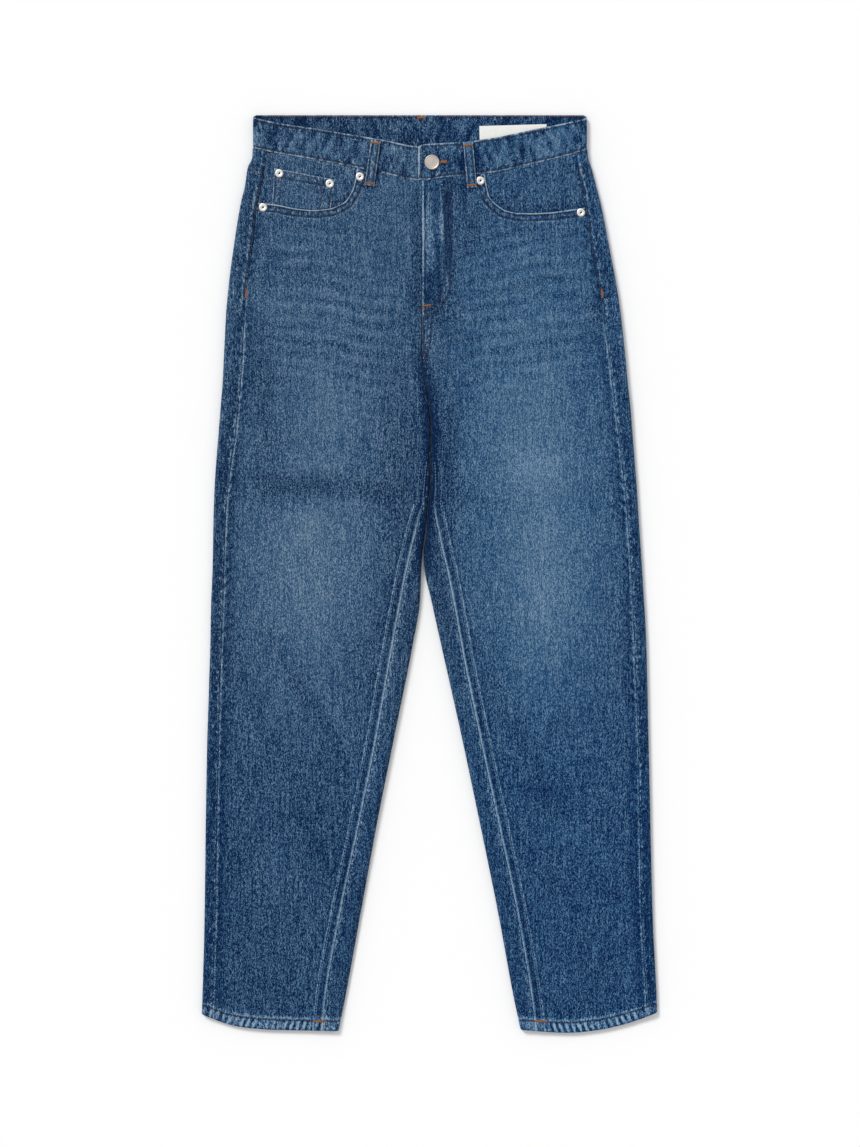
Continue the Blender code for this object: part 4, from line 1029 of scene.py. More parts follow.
def back(side):
    """Back panel, from the yoke seam to the hem, round both folded edges of the leg."""
    near = section(side, np.array([[YOKE_SIDE]]))
    seams = yoke_seam(near, back_places(near)) + SEAM_GAP
    t = np.concatenate([[0, 0.01, 0.025, 0.045], np.linspace(0.07, 1, 26)[:-1]])[:, None]
    hem_near = section(side, np.array([[HEM_SECTION]]))
    hem_outs = place(hem_near, back_places(hem_near), 0.0)[0][0]
    level = np.linspace(TOP_ROW, LOW_ROW, 330)[:, None] + np.zeros(len(BACK_SHARE))
    hems = hem_rows(side, hem_outs, 10)
    down = np.concatenate([seams + (TOP_ROW - seams) * t, level, hems])
    thick = np.full(down.shape, CLOTH)
    thick[-len(HEM_ABOVE) + 3:] = HEM_CLOTH
    wrap("cloth_back_" + side, ["back_" + side], side, down, thick)


def band_edges(side, s, along):
    """Upper and lower edge of the waistband at a place on its wall."""
    m = s.marks
    out = np.minimum(s.start - (along - m[6]), s.start)
    turn = np.clip((along - m[5]) / (m[6] - m[5]), 0, 1)
    return [back_edge + (read(BANDS[side], "out", edge, out) - back_edge) * turn
            for edge, back_edge in (("top", 0.0), ("bottom", BAND_HEIGHT))]


def yoke(side):
    """Yoke of the back, which wraps round the outer fold up to the outseam."""
    near = section(side, np.array([[YOKE_SIDE]]))
    band_near = section(side, np.array([[BAND_SECTION]]))
    along = back_places(near)
    upper = band_edges(side, band_near, along * band_near.marks[6] / near.marks[6])[1] + BAND_GAP
    t = np.concatenate([[0, 0.02, 0.05, 0.1], np.linspace(0.15, 0.85, 18), [0.9, 0.95, 0.98, 1]])[:, None]
    down = upper + (yoke_seam(near, along) - upper) * t
    wrap("cloth_yoke_" + side, ["yoke_" + side], side, down, CLOTH)


def band_place(s, along, inset):
    """Out and height of places on the waistband, which goes straight on past the leg's inner edge."""
    out, high = place(s, along, inset)
    straight = s.start - (along - s.marks[6])
    front = along > s.marks[6]
    return np.where(front, straight, out), np.where(front, top(s, straight) - inset, high)


def waistband(side):
    """Half of the waistband: from the centre back round the side to its front end."""
    s = band_section(side)
    m = s.marks
    end = m[6] + s.start - LAP[side]
    along = np.concatenate([np.linspace(m[4], m[5], 84)[:-1], np.linspace(m[5], m[6], 14)[:-1],
                            np.linspace(m[6], end - 9, 104)[:-1],
                            end - np.array([9, 7, 5, 3.4, 2.2, 1.3, 0.6, 0])])
    edges = band_edges(side, s, along)
    t = np.array([0, 0.012, 0.03, 0.055, 0.09, 0.13, *np.linspace(0.18, 0.82, 12),
                  0.87, 0.91, 0.945, 0.97, 0.988, 1])
    down = edges[0] + (edges[1] - edges[0]) * t[:, None]
    along = along + 0 * down
    from_top, from_foot, from_end = down - edges[0], edges[1] - down, end - along
    seed = 70 if side == "left" else 80
    rope = puckers(along, from_top - 3, 4.5, 7.6, seed) + puckers(along, from_foot - 3, 4.5, 7.6, seed + 1)
    wide = 0.5 * noise(along / 16.0 + 30, from_top / 60.0 + 9, seed + 2)
    relief = 0.25 * rope + 0.3 * wide
    for edge, seam in ((from_top, 0.2), (from_foot, 0.2), (from_end, 0.0)):
        relief = relief - 0.5 * bell(edge, 0.8) - seam * bell(edge - BAND_SEAM, 0.8)
    below = 1 - smooth(along, m[5], m[6])
    ramp = 1 - smooth(s.start - (along - m[6]), *LAP_RAMP[side])
    drop = LAP_DROP[side] * ramp * (along > m[6])
    relief = relief * (1 - below) + below * (relief * 0.5 - 0.4)
    inner_rope = 0.3 * puckers(along, from_top - 14, 16, 6.4, seed + 3) + 0.25 * rope + 0.25 * wide
    out, high = band_place(s, along, -relief)
    inner_out, inner_high = band_place(s, along, BAND_CLOTH - 0.25 + 0 * relief)
    inner_high = inner_high + (below > 0.5) * (inner_rope - 0.15 - 0.4 * bell(from_top, 0.8))
    face = 0.4 - 0.08 * smooth(np.abs(out), 150, 195)
    lean = 0.45 * from_top
    streaks = 1 - 3.2 * np.abs(noise((along + lean) / 5.6 + 20, from_top / 22.0 + 5, seed + 4))
    streaks = streaks + 0.9 * noise((along - lean) / 3.6 + 50, from_top / 12.0 + 5, seed + 5)
    streaks = np.clip(streaks + 0.15, -1.4, 1.2)
    x = SIGN[side] * out
    # Painted shade beside the belt loops, and a painted shadow on the band's lower part beside the fly, below
    # the button
    face = face + (1 - below) * (loop_shade(x, down) - 0.25 * bell(x - 27, 26) * smooth(from_top, 6, 20))
    tone = face + 0.05 * wide + 0.28 * streaks
    # Pale lines of wear at the band's edges, with painted shade in the grooves of its stitching
    worn = bells(from_top, (0.7, 1.0, 1.0), (2.6, 0.9, -0.6))
    worn = worn + bells(from_foot, (0.7, 0.9, 0.9), (2.6, 0.9, -0.6))
    worn = (worn + 0.35 * rope) * (1 - 0.6 * below)
    if side == "right":
        # Pale wear at the right end, with painted shade beside it
        worn = worn + bells(from_end, (1.2, 1.6, 1.5), (4.2, 1.2, -0.4)) * (1 - below)
    else:
        # Painted shade on the left end, which lies under the right end
        tone = tone - 0.2 * (1 - smooth(from_end, 6, 12)) * (1 - below)
    by_edge = 1 - smooth(np.minimum(from_top, from_foot), 5, 10)
    fields = {"tone": tone, "worn": worn, "rope": 0.55 * by_edge + 0.15}
    inside = {"tone": tone + (BAND_INSIDE - face) * below}
    panel("cloth_waistband_" + side, ["waistband_" + side], points(side, out, down, high + drop),
          points(side, inner_out, down, inner_high + drop), fields, ("denim", "denim"), 1, inside)


# Pockets

def facing_top(side, out, down):
    """Height of the facing's surface in the pocket mouth."""
    seam = band_bottom(side, out) + BAND_GAP
    edge = mouth_down(side, out) - FACING_EDGE
    t = np.clip((down - seam) / np.maximum(edge - seam, 1.0), 0.0, 1.0)
    t = 1.0 + (t - 1.0) * smooth(out, MOUTHS[side][5].out, MOUTHS[side][4].out)
    return top(section(side, down), out) - FACING_DROP[0] - (FACING_DROP[1] - FACING_DROP[0]) * t


def pocket_facing(side):
    """Piece that shows in the pocket mouth and goes on under the front."""
    a, b, corner = MOUTHS[side][0], MOUTHS[side][1], MOUTHS[side][-1].out
    base = np.linspace(a.out, corner - FACING_PAST, 66)
    share = np.clip((base - b.out) / (a.out - b.out), 0, 1)
    waist0 = float(section(side, np.array(YOKE_SIDE)).outseam) - FACING_EDGE
    waist_out = np.where(base > b.out, b.out + (waist0 - b.out) * share, base)
    seam = band_bottom(side, waist_out) + BAND_GAP
    edge = mouth_down(side, np.maximum(base, corner))
    shown = np.maximum(edge - FACING_EDGE, seam + 4.0)
    foot = np.maximum(edge, seam) + FACING_UNDER
    down = np.concatenate([seam + (shown - seam) * np.linspace(0, 1, 26)[:, None],
                           shown + (foot - shown) * np.linspace(0, 1, 8)[1:, None]])
    out = base + share * (section(side, down).outseam - SEAM_GAP - base)
    high = facing_top(side, out, down)
    x = SIGN[side] * out
    tone = 0.45 - 0.03 * (side == "right") + 0.06 * noise(x / 20 + 60, down / 20, 5)
    # Painted shade on the facing just inside the pocket mouth, under the front's turned edge
    tone = tone - 0.3 * (1 - smooth(edge - down, 1, 12))
    wave = 0.12 * noise(x / 16 + 60, down / 12, 6) - 0.12
    fields = {"tone": tone, "worn": 0.3 * bell(down - seam - 0.8, 1.2), "rope": 0.2 + 0 * out}
    panel("cloth_facing_" + side, ["pocket_facing_" + side], points(side, out, down, high + wave),
          points(side, out, down, high - FACING_CLOTH), fields)


def coin_pocket():
    """Small patch pocket on the left facing, open along its top."""
    s = np.concatenate([[0, 0.01, 0.03, 0.06], np.linspace(0.09, 0.91, 34), [0.94, 0.97, 0.99, 1]])
    t = np.array([0, 0.015, 0.04, 0.08, *np.linspace(0.12, 0.96, 22), 0.985, 1])[:, None]
    out_top = COIN_TOP[0].out + (COIN_TOP[1].out - COIN_TOP[0].out) * s
    down_top = COIN_TOP[0].down + (COIN_TOP[1].down - COIN_TOP[0].down) * s
    out_foot = COIN_FOOT[0] + (COIN_FOOT[1] - COIN_FOOT[0]) * s
    down_foot = mouth_down("left", out_foot) - 2 * SEAM_GAP
    out = out_top + (out_foot - out_top) * t
    down = down_top + (down_foot - down_top) * t
    base = facing_top("left", out, down) + SEAM_GAP
    from_top = down - down_top
    side_edge = np.minimum(s, 1 - s) * COIN_WIDTH + 0 * out
    band = 1 - smooth(from_top, 8.6, 9.6)
    rope = puckers(out, from_top - 5, 5, 7.6, 90)
    relief = band * (0.15 + 0.2 * rope) + bells(from_top, (9.0, 0.9, -0.2), (0, 0.6, -0.4))
    relief = relief + 0.12 * noise(out / 12, down / 9 + 4, 91)
    relief = relief + bells(side_edge, (0, 0.6, -0.4), (2, 0.8, -0.2))
    # Pale lines of wear at the edges, with painted shade in the grooves of the stitching
    worn = bells(from_top, (0.8, 1.1, 0.9), (10.4, 1.0, 0.4), (8.9, 0.8, -0.5))
    worn = worn + bells(side_edge, (0.7, 1.0, 0.8), (2.2, 0.8, -0.5)) + 0.3 * band * rope
    fields = {"tone": 0.47 + 0.06 * noise(out / 14, down / 14, 92), "worn": worn, "rope": 0.3 + 0.4 * band}
    panel("cloth_coin_pocket", ["coin_pocket"], points("left", out, down, base + COIN_CLOTH - 0.1 + relief),
          points("left", out, down, base), fields, stride=2)


# Small cloth pieces

Loop = namedtuple("Loop", "name x_top down_top x_foot down_foot")
FRONT_LOOPS = named(Loop, [("front_left", -60.5, 29.6, -67.8, 80.4), ("front_right", 43.5, 32.0, 48.0, 82.6)])
BACK_LOOPS = named(Loop, [("back_left", -184.0, 1.0, -184.0, 52.0), ("back_middle", -9.0, 1.0, -9.0, 52.0),
              ("back_right", 163.0, 1.0, 163.0, 52.0)])
LOOP_WIDTH = 11.0
LOOP_LENGTH = 51.0
LOOP_CLOTH = 1.4
LOOP_ARCH = 1.3
LOOP_LANDS = 0.84
UNDER_CLOTH = 1.05


def loop_grid(loop, rows=56):
    """Points of a loop's face, with the share of its length and the distance across it."""
    t = np.linspace(0, 1, rows)[:, None] + np.zeros(13)
    half = np.array([1.6, 3, 4, 4.7, 5.2, LOOP_WIDTH / 2])
    half = np.concatenate([-half[::-1], [0], half]) + np.zeros((rows, 1))
    length = np.hypot(loop.x_foot - loop.x_top, loop.down_foot - loop.down_top)
    cross = ((loop.down_foot - loop.down_top) / length, (loop.x_foot - loop.x_top) / length)
    x = loop.x_top + (loop.x_foot - loop.x_top) * t + cross[0] * half
    down = loop.down_top + (loop.down_foot - loop.down_top) * t - cross[1] * half
    return t, half, x, down


def flat_points(x, down, high):
    return points("right", x, down, high)


def belt_loop(loop, under):
    """Belt loop: over the front waistband with a low arch, or flat against the back."""
    t, half, x, down = loop_grid(loop)
    edge = LOOP_WIDTH / 2 - np.abs(half)
    end = np.minimum(t, 1 - t) * LOOP_LENGTH
    relief = 0.3 * bell(half, 2.6) + bells(edge, (0, 0.6, -0.45), (2.0, 0.7, -0.15))
    relief = relief + 0.16 * puckers(t * LOOP_LENGTH, edge - 2, 3, 6.2, 95) - 0.4 * bell(end, 0.8)
    # Pale wear at the edges, the middle and the ends, with painted shade in the grooves of the stitching
    worn = bells(edge, (0.4, 0.8, 0.9), (2.1, 0.7, -0.6)) + 0.3 * bell(half, 1.5) + 0.6 * bell(end - 0.6, 1.2)
    fields = {"tone": 0.48 + 0 * t, "worn": worn, "rope": 0.45 + 0 * t}
    node = "belt_loop_" + loop.name
    if under:
        panel("cloth_" + node, [node], flat_points(x, down, 0.35 - np.minimum(relief, 0.3)),
              flat_points(x, down, UNDER_CLOTH), fields, stride=2)
        return
    side = "left" if loop.x_top < 0 else "right"
    band = top(band_section(side), abs(loop.x_top))
    foot = top(section(side, np.array(loop.down_foot)), abs(loop.x_foot))
    seat = band + (foot - band) * smooth(t, LOOP_LANDS, 1.0) + SEAM_GAP + LOOP_ARCH * np.sin(PI * t)
    panel("cloth_" + node, [node], flat_points(x, down, seat + LOOP_CLOTH + relief - 0.1),
          flat_points(x, down, seat), fields, stride=2)


# Distance below the pocket's mouth, and half its width there
BACK_POCKET = [(0.0, 76.0), (118.0, 72.0), (148.0, 0.0)]
BACK_POCKET_AT = {"left": (112.0, 150.0), "right": (104.0, 150.0)}


def back_pocket(side):
    """Patch pocket on the underside, pointed at its foot, with a turned mouth."""
    middle, high_edge = BACK_POCKET_AT[side]
    foot = BACK_POCKET[-1][0]
    v = np.concatenate([[0, 0.6, 1.4, 2.6], np.linspace(4.2, 145.8, 70), [146.8, 147.5, 147.97]])[:, None]
    u = np.concatenate([[-1, -0.99, -0.975, -0.95], np.linspace(-0.92, 0.92, 60), [0.95, 0.975, 0.99, 1]])
    half = broken(BACK_POCKET, v)
    out, down = middle + half * u, high_edge + v + 0 * u
    from_side = np.minimum((1 - np.abs(u)) * half, (foot - v) * 0.9 + 0 * u)
    from_top = v + 0 * u
    edge = np.minimum(from_side, from_top)
    relief = 0.16 * noise(out / 22, down / 22, 97) + 0.14 * puckers(down + out, from_side - 4, 5, 8.4, 98)
    relief = relief + 0.12 * (from_top < 24) - 0.35 * bell(edge, 0.7) - 0.15 * bell(from_side - 8.5, 0.9)
    worn = 0.5 * bell(edge - 0.9, 1.2) + 0.2 * bell(from_side - 9.4, 1.0) + 0.25 * bell(from_top - 24.5, 1.0)
    tone = 0.54 + 0.08 * noise(out / 30, down / 34, 99) + 0.04 * bell(np.hypot(out - middle, v - 70), 60)
    fields = {"tone": tone, "worn": worn, "rope": 0.6 * bell(from_side - 4, 5)}
    panel("cloth_back_pocket_" + side, ["back_pocket_" + side],
          points(side, out, down, 0.32 - np.minimum(relief, 0.3)),
          points(side, out, down, UNDER_CLOTH), fields)


def label():
    """Bare white label, sewn down inside the back waistband."""
    u, v = np.meshgrid(np.linspace(-0.5, 0.5, 64), np.linspace(0.5, -0.5, 22))
    wide, tall = LABEL_SIZE
    angle = np.radians(LABEL_TURN)
    x = LABEL_AT[0] + u * wide * np.cos(angle) - v * tall * np.sin(angle)
    down = LABEL_AT[1] - (u * wide * np.sin(angle) + v * tall * np.cos(angle))
    base = float(band_section("right").under) + BAND_CLOTH + SEAM_GAP
    edge = np.minimum((0.5 - np.abs(u)) * wide, (0.5 - np.abs(v)) * tall)
    wave = 0.22 * noise(x / 15.0, down / 16.0, 100) + 0.12 * noise(x / 5.0, down / 5.0, 101) * (edge < 5)
    high = base + 0.75 + wave - 0.3 * bell(edge, 0.6) - 0.2 * bell(edge - 1.8, 0.8)
    panel("label_bare", ["label"], flat_points(x, down, high), flat_points(x, down, base), {},
          ("label", "label"), 2)


# Metal pieces

RIVETS = [("left_outer", "left", 188.0, 104.8), ("left_inner", "left", 78.5, 70.0),
          ("coin_outer", "left", 169.6, 66.4), ("coin_inner", "left", 112.6, 78.0),
          ("right_outer", "right", 171.0, 110.6), ("right_inner", "right", 57.6, 74.6)]
RIVET_PROFILE = [(0, 0), (1.0, 0), (1.02, 0.12), (1.0, 0.42), (0.95, 0.62), (0.88, 0.8), (0.8, 0.9),
                 (0.7, 0.94), (0.58, 0.9), (0.48, 0.8), (0.4, 0.62), (0.34, 0.5), (0.27, 0.5),
                 (0.22, 0.9), (0.12, 1.06), (0, 1.1)]
BUTTON_PROFILE = [(0, 0), (0.80, 0), (0.92, 0.2), (0.99, 0.6), (1.0, 1.05), (0.985, 1.5), (0.95, 1.82),
                  (0.9, 1.98), (0.85, 1.92), (0.81, 1.68), (0.77, 1.48), (0.72, 1.44), (0.68, 1.56),
                  (0.63, 1.6), (0.59, 1.5), (0.54, 1.46), (0.44, 1.52), (0.38, 1.62), (0.33, 1.6),
                  (0.28, 1.5), (0.2, 1.58), (0.1, 1.68), (0, 1.7)]


def turned(name, node, profile, radius, x, down, seat, dark=0.0, segments=48):
    """A round metal piece with a darker middle; its profile starts and ends on the axis."""
    turn = np.linspace(0, 2 * PI, segments, endpoint=False)
    rings = [flat_points(x + radius * r * np.cos(turn), down + radius * r * np.sin(turn), seat + high)
             for r, high in profile[1:-1]]
    ends = [flat_points(x, down, seat + profile[k][1]) for k in (0, -1)]
    verts = np.concatenate(rings + [np.stack(ends)])
    count, low = len(rings), len(verts) - 2
    faces = []
    for k in range(segments):
        n = (k + 1) % segments
        faces.append((low, n, k))
        faces.append((low + 1, (count - 1) * segments + k, (count - 1) * segments + n))
        faces += [(i * segments + k, i * segments + n, (i + 1) * segments + n, (i + 1) * segments + k)
                  for i in range(count - 1)]
    mesh = mesh_of(name, verts, faces)
    finish_piece(name, mesh, [node], ["metal_pale" if dark else "metal", "metal_dark"])
    for face in mesh.polygons:
        centre = face.center / MM
        far = np.hypot(centre.x - x, LENGTH / 2 - centre.y - down) / radius
        face.material_index = int(far < dark and centre.z > seat + 0.3)


def metal_pieces():
    for name, side, out, down in RIVETS:
        outs = np.array([out - RIVET_RADIUS, out, out + RIVET_RADIUS])
        if name.startswith("coin"):
            seat = facing_top(side, outs, down + 0 * outs).max() + SEAM_GAP + COIN_CLOTH
        else:
            seat = top(section(side, np.full(3, down)), outs).max()
        turned("metal_rivet_" + name, "rivet_" + name, RIVET_PROFILE, RIVET_RADIUS, SIGN[side] * out, down,
               seat + SEAM_GAP, 0.27)
    seat = float(top(band_section("right"), BUTTON_AT[0])) + LAP_DROP["right"] + SEAM_GAP
    turned("metal_button", "button", BUTTON_PROFILE, BUTTON_RADIUS, *BUTTON_AT, seat, segments=72)


def zip_fastener():
    """Closed zip under the fly: its woven tape, and two rows of teeth that meet in the middle."""
    down = np.linspace(79.0, 186.0, 60)[:, None]
    across = np.linspace(-4.0, 24.0, 26)
    out = across - CENTRE_FRONT + 0 * down
    tape = top(section("right", down), out) - CLOTH - SEAM_GAP
    rib = 0.12 * np.cos(2 * PI * across / 1.6)
    panel("zip_tape", ["zip"], points("right", out, down, tape - 0.25 + rib),
          points("right", out, down, tape - 0.9), {}, ("zip_tape", "zip_tape"), 2)
    verts, faces = [], []
    box = np.array([(0, 1, 3, 2), (4, 6, 7, 5), (0, 4, 5, 1), (2, 3, 7, 6), (0, 2, 6, 4), (1, 5, 7, 3)])
    for k, at in enumerate(np.arange(82.0, 184.0, 1.1)):
        left = 10.0 + (0.0 if k % 2 else 1.6)
        outs = np.array([left, left + 2.6]) - CENTRE_FRONT
        seat = float(top(section("right", np.array(at)), outs[0])) - CLOTH - SEAM_GAP
        for high in (seat - 0.2, seat + 0.75):
            for row in (at - 0.34, at + 0.34):
                verts += [points("right", o, row, high) for o in outs]
        faces += (box + 8 * k).tolist()
    finish_piece("zip_chain", mesh_of("zip_chain", verts, faces), [], ["zip_teeth"], 0.3)


# Sewing

THREAD = 0.5
STITCH = 3.3
PICTURE_MIDDLE = 429.5
PICTURE_TOP = 115.0
MM_A_PIXEL = 1.13
OUTSEAM_TACK = {"left": 206.6, "right": 194.6}
HEM_TACK = {"left": (320, 1021), "right": (541, 1021)}
LOOP_STITCH = 3.4
TREES = {}


def tree(name):
    """The cloth's faces, to find the height of the thread on it."""
    if name not in TREES:
        mesh = bpy.data.objects[name].data
        TREES[name] = BVHTree.FromPolygons([v.co for v in mesh.vertices], [p.vertices for p in mesh.polygons])
    return TREES[name]


def height_on(names, x, down, under):
    """Height of the outermost of the named pieces at a place, or None where none is."""
    way = 1.0 if under else -1.0
    start = Vector((x * MM, (LENGTH / 2 - down) * MM, -0.05 if under else 0.05))
    hits = [tree(name).ray_cast(start, Vector((0, 0, way)))[0] for name in names]
    found = [hit.z / MM for hit in hits if hit]
    return (min(found) if under else max(found)) if found else None


class Sewing:
    """Stitches of one thread, gathered and made into one mesh."""

    def __init__(self, name, thread, under=False, radius=THREAD):
        self.name, self.thread, self.under, self.radius = name, thread, under, radius
        self.parts = []

    def stitch(self, names, a, b, sink=0.3):
        heights = [height_on(names, *end, self.under) for end in (a, b)]
        if None not in heights and abs(heights[0] - heights[1]) < 2.0:
            self.parts.append((*a, heights[0], *b, heights[1], sink))

    def line(self, names, places, pitch=STITCH, gap=0.75):
        places = np.array(places, float)
        steps = np.hypot(*np.diff(places, axis=0).T)
        gone = np.concatenate([[0], np.cumsum(steps)])
        starts = np.arange(gap / 2, gone[-1] - pitch / 2, pitch)
        for start in starts:
            self.stitch(names, *[tuple(np.interp(at, gone, column) for column in places.T)
                                 for at in (start, start + pitch - gap)])

    def tack(self, names, a, b, width=2.2):
        """A bar tack: close stitches across the way from a to b."""
        a, b = np.array(a, float), np.array(b, float)
        long = np.hypot(*(b - a))
        side = np.array([-(b - a)[1], (b - a)[0]]) / long * width / 2
        for k in range(int(long / 0.62) + 1):
            at = a + (b - a) * k * 0.62 / long
            lean = (b - a) / long * (0.25 if k % 2 else -0.25)
            self.stitch(names, tuple(at - side - lean), tuple(at + side + lean), 0.1)

    def make(self):
        way = -1.0 if self.under else 1.0
        rows = np.array(self.parts)
        a, b, sink = rows[:, :3], rows[:, 3:6], rows[:, 6:7]
        run = b - a
        flat = run[:, :2] / np.maximum(np.hypot(run[:, 0], run[:, 1]), 1e-6)[:, None]
        cross = np.stack([-flat[:, 1], flat[:, 0]], axis=-1)
        turn = np.arange(5) * 2 * PI / 5 + 0.3
        verts = []
        for t, size, lift in ((0.0, 0.3, -1.0), (0.16, 1.0, 0.0), (0.84, 1.0, 0.0), (1.0, 0.3, -1.0)):
            middle = a + run * t
            high = middle[:, 2] + way * (0.32 * self.radius + lift * sink[:, 0])
            around = self.radius * size
            x = middle[:, :1] + cross[:, :1] * around * np.cos(turn)
            down = middle[:, 1:2] + cross[:, 1:] * around * np.cos(turn)
            verts.append(flat_points(x, down, high[:, None] + around * np.sin(turn)))
        verts = np.stack(verts, axis=1).reshape(-1, 3)
        if self.under:
            verts[:, 2] = np.maximum(verts[:, 2], 0.0)
        one = [(4, 3, 2, 1, 0), (15, 16, 17, 18, 19)]
        one += [(i * 5 + k, i * 5 + (k + 1) % 5, (i + 1) * 5 + (k + 1) % 5, (i + 1) * 5 + k)
                for i in range(3) for k in range(5)]
        faces = [tuple(n + 20 * i for n in face) for i in range(len(rows)) for face in one]
        finish_piece(self.name, mesh_of(self.name, verts, faces), [], [self.thread], 3.2)


def seen(*pairs):
    """X and down in millimetres of places in the picture."""
    return [((px - PICTURE_MIDDLE) * MM_A_PIXEL, (py - PICTURE_TOP) * MM_A_PIXEL) for px, py in pairs]


def spread(side, outs, downs):
    """X and down of a row of places on one side."""
    return np.stack(np.broadcast_arrays(SIGN[side] * np.asarray(outs), downs), axis=-1)


def cloth_names(side, *parts):
    return ["cloth_" + part + "_" + side for part in parts]


def beside(line, distance):
    """A broken line moved sideways, to the right of its way for a distance above zero."""
    line = np.array(line, float)
    run = np.gradient(line, axis=0)
    run = run / np.hypot(run[:, 0], run[:, 1])[:, None]
    return line + np.stack([-run[:, 1], run[:, 0]], axis=-1) * distance


def rounded(line, steps=6):
    """A smooth line through the points of a broken one."""
    return curve(line, np.linspace(0, len(line) - 1, (len(line) - 1) * steps + 1))


def at_rows(side, downs, from_seam):
    """X and down along the felled inseam, at a distance from the seam."""
    s = section(side, downs)
    return spread(side, place(s, seam_along(s) - SEAM_GAP / 2 - from_seam, 0.0)[0], downs)


def sew_top():
    brown = Sewing("stitches_brown", "thread_brown")
    blue = Sewing("stitches_blue", "thread_blue")
    orange = Sewing("stitches_orange", "thread_orange")
    for side in SIDES:
        front_name, back_name, yoke_name, band = cloth_names(side, "front", "back", "yoke", "waistband")
        outs = np.linspace(LAP[side] + 2.6, band_section(side).outer - 3, 60)
        for edge, inset in (("top", BAND_SEAM), ("bottom", -BAND_SEAM)):
            brown.line([band], spread(side, outs, read(BANDS[side], "out", edge, outs) + inset))
        orange.line([band], spread(side, np.linspace(10, 190, 40), 1.1), 2.6)
        mouth = rounded(spread(side, *np.transpose(MOUTHS[side])))
        for distance in (1.9, 8.2):
            brown.line([front_name], beside(mouth, -SIGN[side] * distance))
        downs = np.linspace(64, 196, 50)
        brown.line([back_name], spread(side, section(side, downs).outseam + 1.9, downs), 3.0)
        for distance in (2.1, 8.9):
            blue.line([front_name], at_rows(side, np.linspace(392, 1021, 200), distance))
        outs = np.linspace(104, 254, 60)
        brown.line([front_name, back_name], spread(side, outs, hem_edge(side, outs) - HEM_LINE))
        for down in (59.2, 67.4):
            near = section(side, np.array(down))
            name = yoke_name if down < YOKE_SIDE else back_name
            brown.line([name], spread(side, np.linspace(near.outseam + 1.2, near.outer - 1.0, 8), down))
        at = OUTSEAM_TACK[side]
        orange.tack([back_name, front_name], *spread(side, (at, at + 0.6), (198, 207)), 2.4)
        x, down = seen(HEM_TACK[side])[0]
        orange.tack([front_name, back_name], (x - 7, down - 0.3), (x + 7, down + 0.3), 2.4)
        x, down = mouth[0][0] - SIGN[side] * 2, mouth[0][1]
        orange.tack([front_name], (x, down + 2.6), (x, down + 9))
    for line in FLY_STITCH + CENTRE_STITCH:
        brown.line(["cloth_front_right"], rounded(line))
    brown.line(["cloth_waistband_right"], [(-10.4, 38), (-10.4, 72)])
    orange.tack(["cloth_front_right"], *seen((423.2, 306.3), (431, 305.2)), 1.8)
    orange.tack(["cloth_front_right"], *seen((423.4, 307.5), (423.0, 313.0)), 2.0)
    orange.tack(["cloth_waistband_right"], *seen((441, 162.4), (447, 162.4)), 3.6)
    sew_coin_pocket(brown)
    for loop in FRONT_LOOPS:
        name = ["cloth_belt_loop_" + loop.name]
        t, half, x, down = loop_grid(loop)
        for offset in (-LOOP_STITCH, LOOP_STITCH):
            rows = [[np.interp(offset, half[i], values[i]) for values in (x, down)] for i in range(len(t))]
            brown.line(name, rows[4:-4], 3.0)
        for row in (3, -4):
            orange.tack(name, (x[row][1], down[row][1]), (x[row][-2], down[row][-2]), 2.4)
    orange.tack(cloth_names("left", "waistband") + cloth_names("right", "waistband"),
                *seen((417.5, 117.2), (425.5, 117.2)), 3.0)
    for thread in (brown, blue, orange):
        thread.make()


def sew_coin_pocket(thread):
    """Two lines under the pocket's mouth, and two down each of its sides."""
    coin = ["cloth_coin_pocket"]
    outer, inner = COIN_TOP
    for inset in (1.9, 8.8):
        thread.line(coin, spread("left", (outer.out - 1.5, inner.out + 1.5),
                                 (outer.down + inset + 0.3, inner.down + inset - 0.3)))
    for top_out, foot_out in ((173.4, 176.0), (166.6, 169.4), (120.4, 124.0), (108.6, 113.2)):
        start = broken(COIN_TOP[::-1], top_out) + 2
        thread.line(coin, [(-top_out, start), (-foot_out, mouth_down("left", foot_out) - 1.5)])


def sew_under():
    brown = Sewing("stitches_under_brown", "thread_brown", True)
    orange = Sewing("stitches_under_orange", "thread_orange", True)
    for side in SIDES:
        back_name, band, pocket, yoke_name = cloth_names(side, "back", "waistband", "back_pocket", "yoke")
        for down in (BAND_SEAM, BAND_HEIGHT - BAND_SEAM):
            brown.line([band], spread(side, np.linspace(10, 196, 60), down))
        near = section(side, np.array([[YOKE_SIDE]]))
        along = back_places(near)[0]
        keep = (along > near.marks[4][0, 0] + 2) & (along < near.marks[5][0, 0])
        outs, seams = place(near, along[None], 0.0)[0][0][keep], yoke_seam(near, along[None])[0][keep]
        for inset in (2.2, 8.0):
            brown.line([yoke_name], spread(side, outs, seams - inset))
        outs = np.linspace(104, 250, 60)
        brown.line([back_name], spread(side, outs, hem_edge(side, outs) - HEM_LINE))
        middle = 8.9 if side == "left" else -8.9
        for shift in (2.2, 8.6) if side == "right" else (2.2,):
            brown.line([back_name], spread(side, middle + shift, np.linspace(106, 282, 60)))
        sew_back_pocket(side, pocket, brown, orange)
    for loop in BACK_LOOPS:
        name = ["cloth_belt_loop_" + loop.name]
        for offset in (-LOOP_STITCH, LOOP_STITCH):
            brown.line(name, [(loop.x_top + offset, 4), (loop.x_top + offset, 49)], 3.0)
        for down in (3.0, 50.0):
            orange.tack(name, (loop.x_top - 5, down), (loop.x_top + 5, down), 2.4)
    for thread in (brown, orange):
        thread.make()


